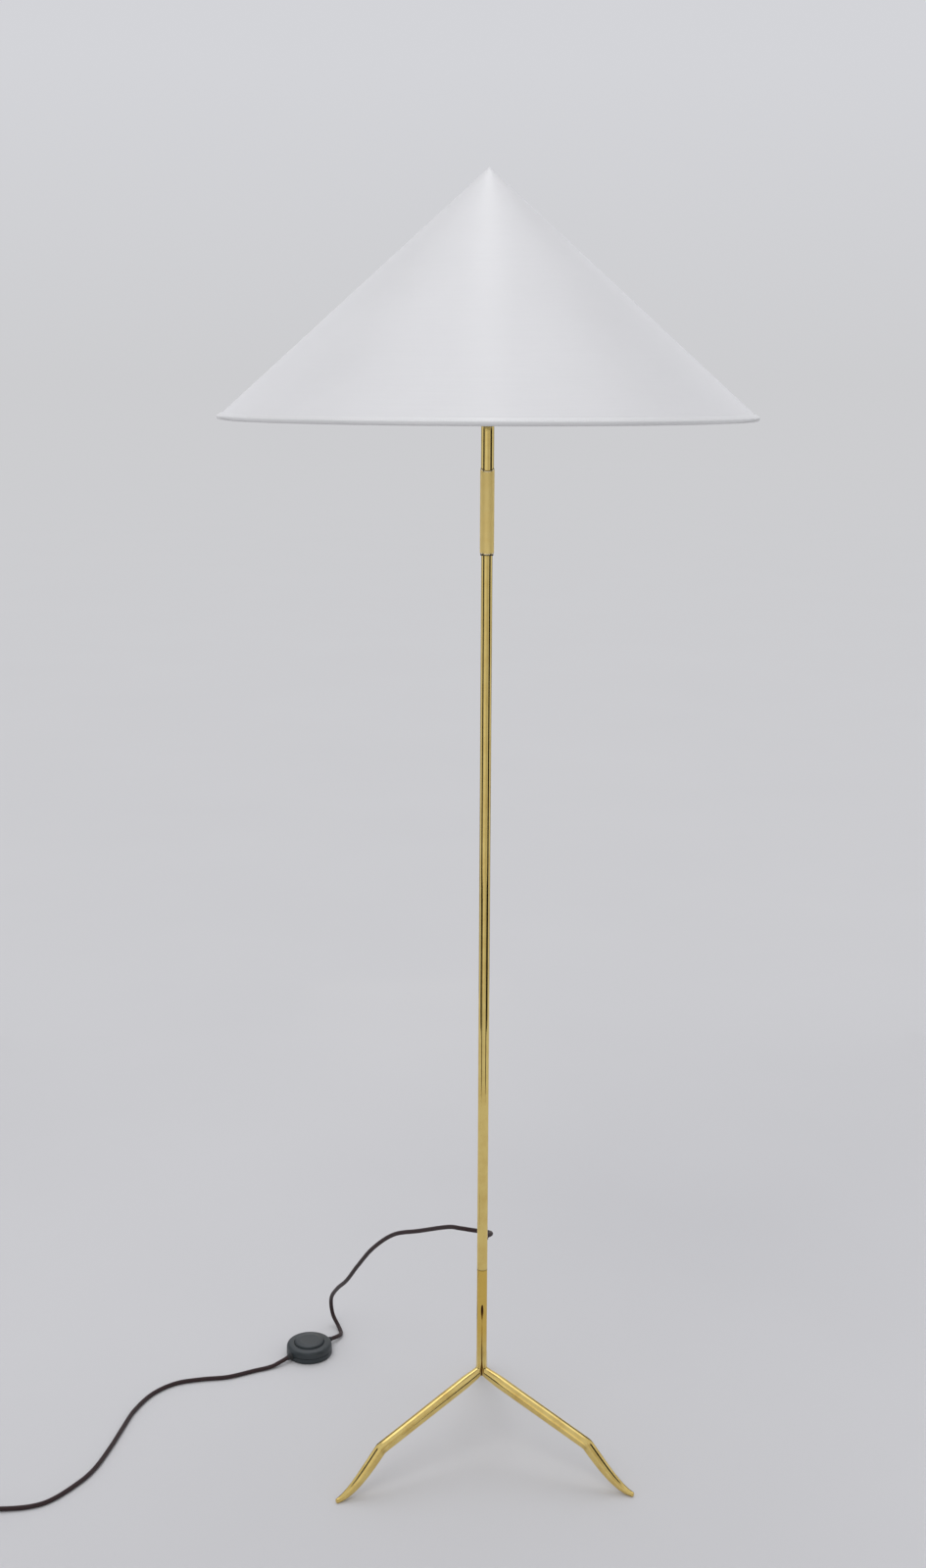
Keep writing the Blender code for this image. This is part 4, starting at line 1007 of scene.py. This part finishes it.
def build_shade(materials):
    facets = 192
    slope = math.atan2(APEX - COVER_EDGE[1], COVER_EDGE[0])
    wall = 0.0009
    drop = wall / math.cos(slope)
    steps = 40
    outer = [(0.0, APEX)]
    for index in range(1, steps + 1):
        share = index / steps
        height = APEX + (COVER_EDGE[1] - APEX) * share
        outer.append((cone_radius(height), height))
    inner = [(radius - wall / math.sin(slope) * 0.999, height) for radius, height in outer[:0:-4]]
    outline = outer + inner + [(0.0, APEX - drop)]
    cover = turned("shade_cloth", outline, materials["shade_fabric"], facets, None, 50.0)
    place(cover, "stem", "shade_fabric", "shade_cover")
    hem_gap = 0.0003 / math.sin(slope)
    hem_wall = 0.0006
    top = RIM_BOTTOM + 0.0088
    outer_top = cone_radius(top) + hem_gap + hem_wall / math.sin(slope)
    hem = turned(
        "hem_band",
        [
            (outer_top, top, 0.0003),
            (RIM_RADIUS, RIM_BOTTOM + 0.0050, 0.0012),
            (RIM_RADIUS, RIM_BOTTOM + 0.0016, 0.0016),
            (RIM_RADIUS - 0.0028, RIM_BOTTOM, 0.0016),
            (RIM_RADIUS - 0.0062, RIM_BOTTOM + 0.0004, 0.0002),
            (RIM_RADIUS - 0.0060, RIM_BOTTOM + 0.0010, 0.0002),
            (RIM_RADIUS - 0.0030, RIM_BOTTOM + hem_wall, 0.0010),
            (RIM_RADIUS - hem_wall, RIM_BOTTOM + 0.0022, 0.0008),
            (RIM_RADIUS - hem_wall, RIM_BOTTOM + 0.0046, 0.0008),
            (outer_top - hem_wall / math.sin(slope), top),
        ],
        materials["hem_tape"],
        facets,
        None,
        60.0,
    )
    place(hem, "stem", "hem_tape", "shade_hem")
    wires = {
        "rim_wire": (RIM_RADIUS - 0.0036, RIM_BOTTOM + 0.0029),
        "spider_ring": (SPIDER_RING_RADIUS, SPIDER_HEIGHT),
    }
    for name, (radius, height) in wires.items():
        section = []
        for index in range(12):
            angle = math.radians(30.0 * index)
            section.append((radius + WIRE * math.cos(angle), height - WIRE * math.sin(angle)))
        loop = turned(f"{name}_loop", section, materials["white_wire"], facets, None, 60.0)
        place(loop, "stem", "white_wire", name)
    hub = turned(
        "spider_washer",
        [
            (0.0270, SPIDER_HEIGHT + 0.0014, 0.0006),
            (0.0270, SPIDER_HEIGHT - 0.0014, 0.0006),
            (0.0196, SPIDER_HEIGHT - 0.0014, 0.0003),
            (0.0196, SPIDER_HEIGHT + 0.0014, 0.0003),
        ],
        materials["white_wire"],
    )
    place(hub, "stem", "white_wire", "spider_hub")
    for number, angle in enumerate(SPIDER_ANGLES, start=1):
        out = direction(angle)
        lift = Vector((0.0, 0.0, SPIDER_HEIGHT))
        start, end = 0.0268, SPIDER_RING_RADIUS - 0.0010
        path = [out * (start + (end - start) * index / 8) + lift for index in range(9)]
        arm = swept(f"spider_rod_{number}", path, WIRE * 0.98, 20, materials["white_wire"])
        place(arm, "stem", "white_wire", f"spider_arm_{number}")


# ---------------------------------------------------------------- foot switch


def build_switch(materials):
    where = Matrix.Translation((*SWITCH_CENTRE, 0.0))
    outer = SWITCH_RADIUS
    plastic = materials["switch_plastic"]
    shell = turned(
        "switch_dish",
        [
            (outer, SWITCH_SPLIT - 0.0001, 0.0004),
            (outer, 0.0014, 0.0012),
            (outer - 0.0014, 0.0),
            (0.004, 0.0),
            (0.004, 0.0030),
            (outer - 0.002, 0.0030),
            (outer - 0.002, SWITCH_SPLIT - 0.0001),
        ],
        plastic,
        ROUND,
        where,
    )
    hole = BUTTON_RADIUS + 0.0005
    lid = turned(
        "switch_lid",
        [
            (hole, SWITCH_LIP, 0.0004),
            (outer - 0.0070, SWITCH_LIP, 0.0022),
            (outer - 0.0022, SWITCH_LIP - 0.0012, 0.0024),
            (outer - 0.0003, SWITCH_LIP - 0.0042, 0.0022),
            (outer, SWITCH_SPLIT + 0.0005, 0.0005),
            (outer - 0.002, SWITCH_SPLIT + 0.0005),
            (outer - 0.0024, SWITCH_LIP - 0.0046),
            (outer - 0.0064, SWITCH_LIP - 0.0018),
            (hole, SWITCH_LIP - 0.0018),
        ],
        plastic,
        ROUND,
        where,
    )
    button = turned(
        "switch_knob",
        [
            (0.0, SWITCH_TOP - 0.0006),
            (0.0125, SWITCH_TOP - 0.0004, 0.0010),
            (0.0145, SWITCH_TOP - 0.0002, 0.0008),
            (0.0165, SWITCH_TOP - 0.0005, 0.0015),
            (0.0205, SWITCH_TOP - 0.0012, 0.0015),
            (0.0219, SWITCH_TOP - 0.0026, 0.0010),
            (BUTTON_RADIUS, SWITCH_LIP - 0.0014),
            (BUTTON_RADIUS, SWITCH_LIP - 0.0021),
            (0.0243, SWITCH_LIP - 0.0022),
            (0.0243, SWITCH_LIP - 0.0034),
            (0.0200, SWITCH_LIP - 0.0034),
            (0.0, SWITCH_LIP - 0.0030),
        ],
        plastic,
        ROUND,
        where,
    )
    level = level_frame(PORT_ANGLES["gland_in"], SWITCH_CENTRE, PORT_HEIGHT)
    ports = [(0.0, 0.06), (0.0041, 0.06), (0.0041, -0.06), (0.0, -0.06)]
    bar = turned("ports", ports, None, SMALL_ROUND, level)
    core = turned("core", [(0.0, 0.05), (0.029, 0.05), (0.029, -0.05), (0.0, -0.05)], None, 64, where)
    cut(bar, core)
    for piece in (shell, lid):
        cut(piece, bar)
        finished(piece, plastic)
    discard(bar, core)
    place(shell, "base", "switch_plastic", "switch_base")
    place(lid, "base", "switch_plastic", "switch_cover")
    place(button, "button", "switch_plastic", "switch_button")
    glands = []
    for name, angle in PORT_ANGLES.items():
        sleeve = [(0.0033, 0.0418, 0.0003)]
        for index in range(3):
            along = 0.0398 - 0.0017 * index
            radius = 0.0039 + 0.0004 * index
            sleeve += [(radius, along, 0.0003), (radius - 0.0005, along - 0.0008, 0.0003)]
        sleeve += [(0.0050, 0.0349, 0.0003), (0.0050, 0.0343), (0.0037, 0.0343)]
        sleeve += [(0.0037, 0.0312), (0.0031, 0.0312), (0.0031, 0.0418)]
        gland = turned(
            f"switch_{name}_boot",
            sleeve,
            materials["rubber"],
            SMALL_ROUND,
            level_frame(angle, SWITCH_CENTRE, PORT_HEIGHT),
        )
        place(gland, "base", "rubber", f"switch_{name}")
        glands.append(gland)
    return [shell, lid, button, *glands]


# ---------------------------------------------------------------- cord and plug


def coil_route():
    """Centreline of the spare cord: three turns inwards below, three outwards above, then down."""
    cx, cy = COIL_CENTRE
    inner, middle, outer = COIL_TURN_RADII
    low, high = COIL_LAYER_HEIGHTS
    per_turn = 40
    radii = [outer, middle, inner, inner, middle, outer, outer]
    heights = [low, low, low, high, high, high, high]
    points = []
    for index in range(int(COIL_TURNS * per_turn) + 1):
        turn = index / per_turn
        whole = int(turn)
        part = turn - whole
        ease = min(1.0, part / 0.25)
        ease = ease * ease * (3 - 2 * ease)
        before = max(whole - 1, 0)
        radius = radii[before] + (radii[whole] - radii[before]) * ease
        height = heights[before] + (heights[whole] - heights[before]) * ease
        if whole == int(COIL_TURNS):
            roll = ease * math.pi / 2
            radius = outer + COIL_END_OUT * math.sin(roll)
            height = low + (high - low) * math.cos(roll)
        angle = 90.0 + 360.0 * turn
        spot = direction(angle) * radius
        points.append(Vector((cx + spot.x, cy + spot.y, height)))
    return points


def build_cords(materials):
    cloth = materials["textile_cord"]
    first = smooth_route(CORD_TO_SWITCH, ROUTE_STEP)
    inlet = -direction(PORT_ANGLES["gland_in"])
    first.append(first[-1] + inlet * CORD_INTO_SWITCH)
    lead = swept("cord_lamp_to_switch", first, CORD_RADIUS, CORD_SIDES, cloth)
    place(lead, "base", "textile_cord", "cord_pole_to_switch")
    outlet = direction(PORT_ANGLES["gland_out"])
    start = Vector(CORD_TO_COIL[0]) - outlet * CORD_INTO_SWITCH
    coil = coil_route()
    beside = (COIL_CENTRE[0] + 0.018, COIL_CENTRE[1] + 0.0385, COIL_LAYER_HEIGHTS[0])
    approach = smooth_route([*CORD_TO_COIL, beside, coil[0]], ROUTE_STEP)
    tail = smooth_route([coil[-1], *CORD_FROM_COIL], ROUTE_STEP)
    second = [start] + approach[:-1] + coil[:-1] + tail
    lead = swept("cord_switch_to_plug", second, CORD_RADIUS, CORD_SIDES, cloth)
    place(lead, "base", "textile_cord", "cord_switch_to_coil", "cord_coil", "cord_coil_to_plug")
    return lead, second


def build_plug(materials):
    plastic = materials["plug_plastic"]
    frame_of_plug = Matrix.Translation((*PLUG_REAR, 0.0)) @ Matrix.Rotation(math.radians(PLUG_ANGLE), 4, "Z")
    rows = []
    stations = [
        (0.0000, 0.0068, 0.0058),
        (0.0004, 0.0076, 0.0064),
        (0.0060, 0.0086, 0.0066),
        (0.0120, 0.0112, 0.0067),
        (0.0190, 0.0158, 0.0068),
        (0.0240, 0.0172, 0.0068),
        (0.0280, 0.0169, 0.0066),
        (0.0300, 0.0175, 0.0068),
        (0.0372, 0.0176, 0.0068),
        (0.0380, 0.0170, 0.0062),
    ]
    sides = 64
    for along, half_width, half_height in stations:
        row = []
        for k in range(sides):
            angle = math.tau * k / sides
            c, s = math.cos(angle), math.sin(angle)
            y = half_width * math.copysign(abs(c) ** 0.62, c)
            z = half_height * math.copysign(abs(s) ** 0.62, s)
            row.append((along, y, PLUG_THICKNESS / 2 + z))
        rows.append(row)
    middle = PLUG_THICKNESS / 2
    body = grid_mesh("plug_shell", rows, ((0.0, 0.0, middle), (PLUG_LENGTH, 0.0, middle)), frame_of_plug)
    finished(body, plastic, 40.0)
    place(body, "base", "switch_plastic", "plug_body")
    level = level_frame(PLUG_ANGLE, PLUG_REAR, middle)
    relief = [(0.0056, -0.0002, 0.0004)]
    for index in range(6):
        along = -0.0018 - 0.0026 * index
        radius = 0.0054 - 0.00028 * index
        relief += [(radius, along, 0.0003), (radius, along - 0.0014, 0.0003)]
        relief += [(radius - 0.0007, along - 0.0015, 0.0002), (radius - 0.0007, along - 0.0024, 0.0002)]
    relief += [(0.0036, -0.0178, 0.0003), (0.0031, -0.0178), (0.0031, -0.0002)]
    boot = turned("plug_boot", relief, plastic, SMALL_ROUND, level)
    place(boot, "base", "switch_plastic", "plug_relief")
    return [body, boot]


# ---------------------------------------------------------------- stage


def build_stage():
    scene = bpy.context.scene
    scene.view_settings.view_transform = "Standard"
    world = bpy.data.worlds.new("studio")
    scene.world = world
    world.use_nodes = True
    tree = world.node_tree
    sky = tree.nodes["Background"]
    where = tree.nodes.new("ShaderNodeTexCoord")
    split = tree.nodes.new("ShaderNodeSeparateXYZ")
    tree.links.new(where.outputs["Generated"], split.inputs[0])
    rise = tree.nodes.new("ShaderNodeValToRGB")
    rise.color_ramp.elements[0].position = 0.0
    rise.color_ramp.elements[0].color = (*SKY_LOW, 1.0)
    rise.color_ramp.elements[1].position = 0.16
    rise.color_ramp.elements[1].color = (*SKY_HIGH, 1.0)
    tree.links.new(split.outputs[2], rise.inputs[0])
    toward = tree.nodes.new("ShaderNodeVectorMath")
    toward.operation = "DOT_PRODUCT"
    toward.inputs[1].default_value = (0.0, 0.34, 0.94)
    tree.links.new(where.outputs["Generated"], toward.inputs[0])
    box = tree.nodes.new("ShaderNodeMapRange")
    box.inputs["From Min"].default_value = 0.86
    box.inputs["From Max"].default_value = 0.97
    box.inputs["To Min"].default_value = 1.0
    box.inputs["To Max"].default_value = 3.0
    tree.links.new(toward.outputs["Value"], box.inputs["Value"])
    tree.links.new(rise.outputs[0], sky.inputs["Color"])
    tree.links.new(box.outputs[0], sky.inputs["Strength"])
    floor_mesh = bpy.data.meshes.new("floor")
    corners = [(FLOOR_REACH * x, FLOOR_REACH * y, 0.0) for x, y in ((-1, -1), (1, -1), (1, 1), (-1, 1))]
    floor_mesh.from_pydata(corners, [], [(0, 1, 2, 3)])
    floor = linked("floor", floor_mesh)
    floor.location.z = -0.00005
    material, n = new_material("floor_paint")
    mottle = n.noise(n.object_space(), 1.2, 3.0)
    tone = n.ramp(mottle, [(0.3, (0.575, 0.573, 0.58)), (0.7, (0.59, 0.588, 0.595))])
    n.plug(colour=tone, roughness=0.75)
    n.plug(**{"Specular IOR Level": 0.2})
    far = n.new("ShaderNodeVectorMath", operation="LENGTH")
    n.link(n.object_space(), far.inputs[0])
    decades = n.math("LOGARITHM", n.math("DIVIDE", far.outputs["Value"], FLOOR_HAZE_START), 10.0)
    fade = n.math("DIVIDE", decades, FLOOR_HAZE_DECADES, clamp=True)
    haze = n.new("ShaderNodeEmission")
    haze.inputs["Color"].default_value = (*SKY_LOW, 1.0)
    both = n.new("ShaderNodeMixShader")
    n.link(fade, both.inputs[0])
    n.link(n.shader.outputs[0], both.inputs[1])
    n.link(haze.outputs[0], both.inputs[2])
    n.link(both.outputs[0], n.tree.nodes["Material Output"].inputs["Surface"])
    floor_mesh.materials.append(material)
    sun = bpy.data.lights.new("key", "SUN")
    sun.energy = 0.62
    sun.angle = math.radians(35.0)
    sun.color = (1.0, 0.985, 0.96)
    key = linked("key", sun)
    key.rotation_euler = (math.radians(32.0), math.radians(-18.0), 0.0)
    key.visible_glossy = False
    panel = bpy.data.lights.new("overhead", "AREA")
    panel.shape = "DISK"
    panel.size = 0.15
    panel.energy = 0.32
    overhead = linked("overhead", panel)
    overhead.location = (0.0, 0.10, 2.25)
    overhead.visible_camera = False
    build_cards()


def build_cards():
    """Panels that only reflections see: dark ones to the sides, lighter ones in front and behind."""
    for number, (angle, distance, width, height, level) in enumerate(CARDS):
        material = bpy.data.materials.new(f"card_{number}")
        material.use_nodes = True
        tree = material.node_tree
        glow = tree.nodes.new("ShaderNodeEmission")
        glow.inputs["Color"].default_value = (level, level * 0.96, level * 0.9, 1.0)
        tree.links.new(glow.outputs[0], tree.nodes["Material Output"].inputs["Surface"])
        mesh = bpy.data.meshes.new(f"card_{number}")
        half = width / 2
        corners = [(0.0, -half, 0.0), (0.0, half, 0.0), (0.0, half, height), (0.0, -half, height)]
        mesh.from_pydata(corners, [], [(0, 1, 2, 3)])
        mesh.materials.append(material)
        card = linked(f"card_{number}", mesh)
        turn = Matrix.Rotation(math.radians(angle), 4, "Z")
        card.matrix_world = Matrix.Translation(direction(angle) * distance) @ turn
        card.visible_camera = False
        card.visible_diffuse = False
        card.visible_shadow = False
        card.visible_transmission = False


def build_camera():
    azimuth, pitch, roll = (math.radians(value) for value in (CAMERA_AZIMUTH, CAMERA_PITCH, CAMERA_ROLL))
    level = math.cos(pitch)
    forward = Vector((math.cos(azimuth) * level, math.sin(azimuth) * level, -math.sin(pitch)))
    right = Vector((math.sin(azimuth), -math.cos(azimuth), 0.0))
    up = right.cross(forward)
    rolled_right = math.cos(roll) * right + math.sin(roll) * up
    rolled_up = math.cos(roll) * up - math.sin(roll) * right
    matrix = Matrix((rolled_right, rolled_up, -forward)).transposed().to_4x4()
    matrix.translation = Vector(CAMERA_PLACE)
    data = bpy.data.cameras.new("camera")
    data.sensor_width = 36.0
    data.lens = CAMERA_LENS
    data.clip_start = 0.05
    data.clip_end = 200.0
    camera = linked("camera", data)
    camera.matrix_world = matrix
    bpy.context.scene.camera = camera


def paint_cad_nodes(nodes, materials):
    """Better materials for the CAD nodes that still show."""
    finishes = {
        "nylon": ["pole_guide_bush"],
        "inner_flex": ["inner_flex_pole", "inner_flex_stem"],
        "steel": [
            "switch_screw_1",
            "switch_screw_2",
            "switch_spring",
            "holder_nipple",
            "holder_lock_nut",
            "plug_pin_1",
            "plug_pin_2",
        ],
        "bakelite": ["switch_mechanism", "switch_plunger"],
        "bright_brass": [
            "switch_terminal_in",
            "switch_terminal_out",
            "holder_thread_shell",
            "holder_contact",
        ],
        "polished_brass": ["stem_top_plug"],
        "ceramic": ["holder_core"],
        "bulb_metal": ["bulb_tip"],
        "black_glass": ["bulb_insulator"],
        "rubber": ["coil_tie"],
    }
    for finish, names in finishes.items():
        for name in names:
            mesh = nodes[name].data
            mesh.materials.clear()
            mesh.materials.append(materials[finish])


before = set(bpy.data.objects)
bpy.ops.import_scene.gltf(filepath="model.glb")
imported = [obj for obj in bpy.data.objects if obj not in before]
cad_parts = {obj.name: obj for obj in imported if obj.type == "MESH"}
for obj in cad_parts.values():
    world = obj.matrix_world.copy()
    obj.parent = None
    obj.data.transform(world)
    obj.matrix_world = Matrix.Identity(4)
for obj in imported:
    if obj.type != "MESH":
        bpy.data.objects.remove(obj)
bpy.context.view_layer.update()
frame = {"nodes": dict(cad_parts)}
MATERIALS = make_materials()
paint_cad_nodes(frame["nodes"], MATERIALS)
build_legs(MATERIALS)
build_pole(MATERIALS)
build_stem(MATERIALS)
build_holder(MATERIALS)
build_bulb(MATERIALS)
build_shade(MATERIALS)
switch_pieces = build_switch(MATERIALS)
switch_pieces += ["switch_mechanism", "switch_plunger", "switch_screw_1", "switch_screw_2", "switch_spring"]
switch_pieces += ["switch_terminal_in", "switch_terminal_out"]
cord, cord_path = build_cords(MATERIALS)
plug_pieces = build_plug(MATERIALS)
build_stage()
build_camera()
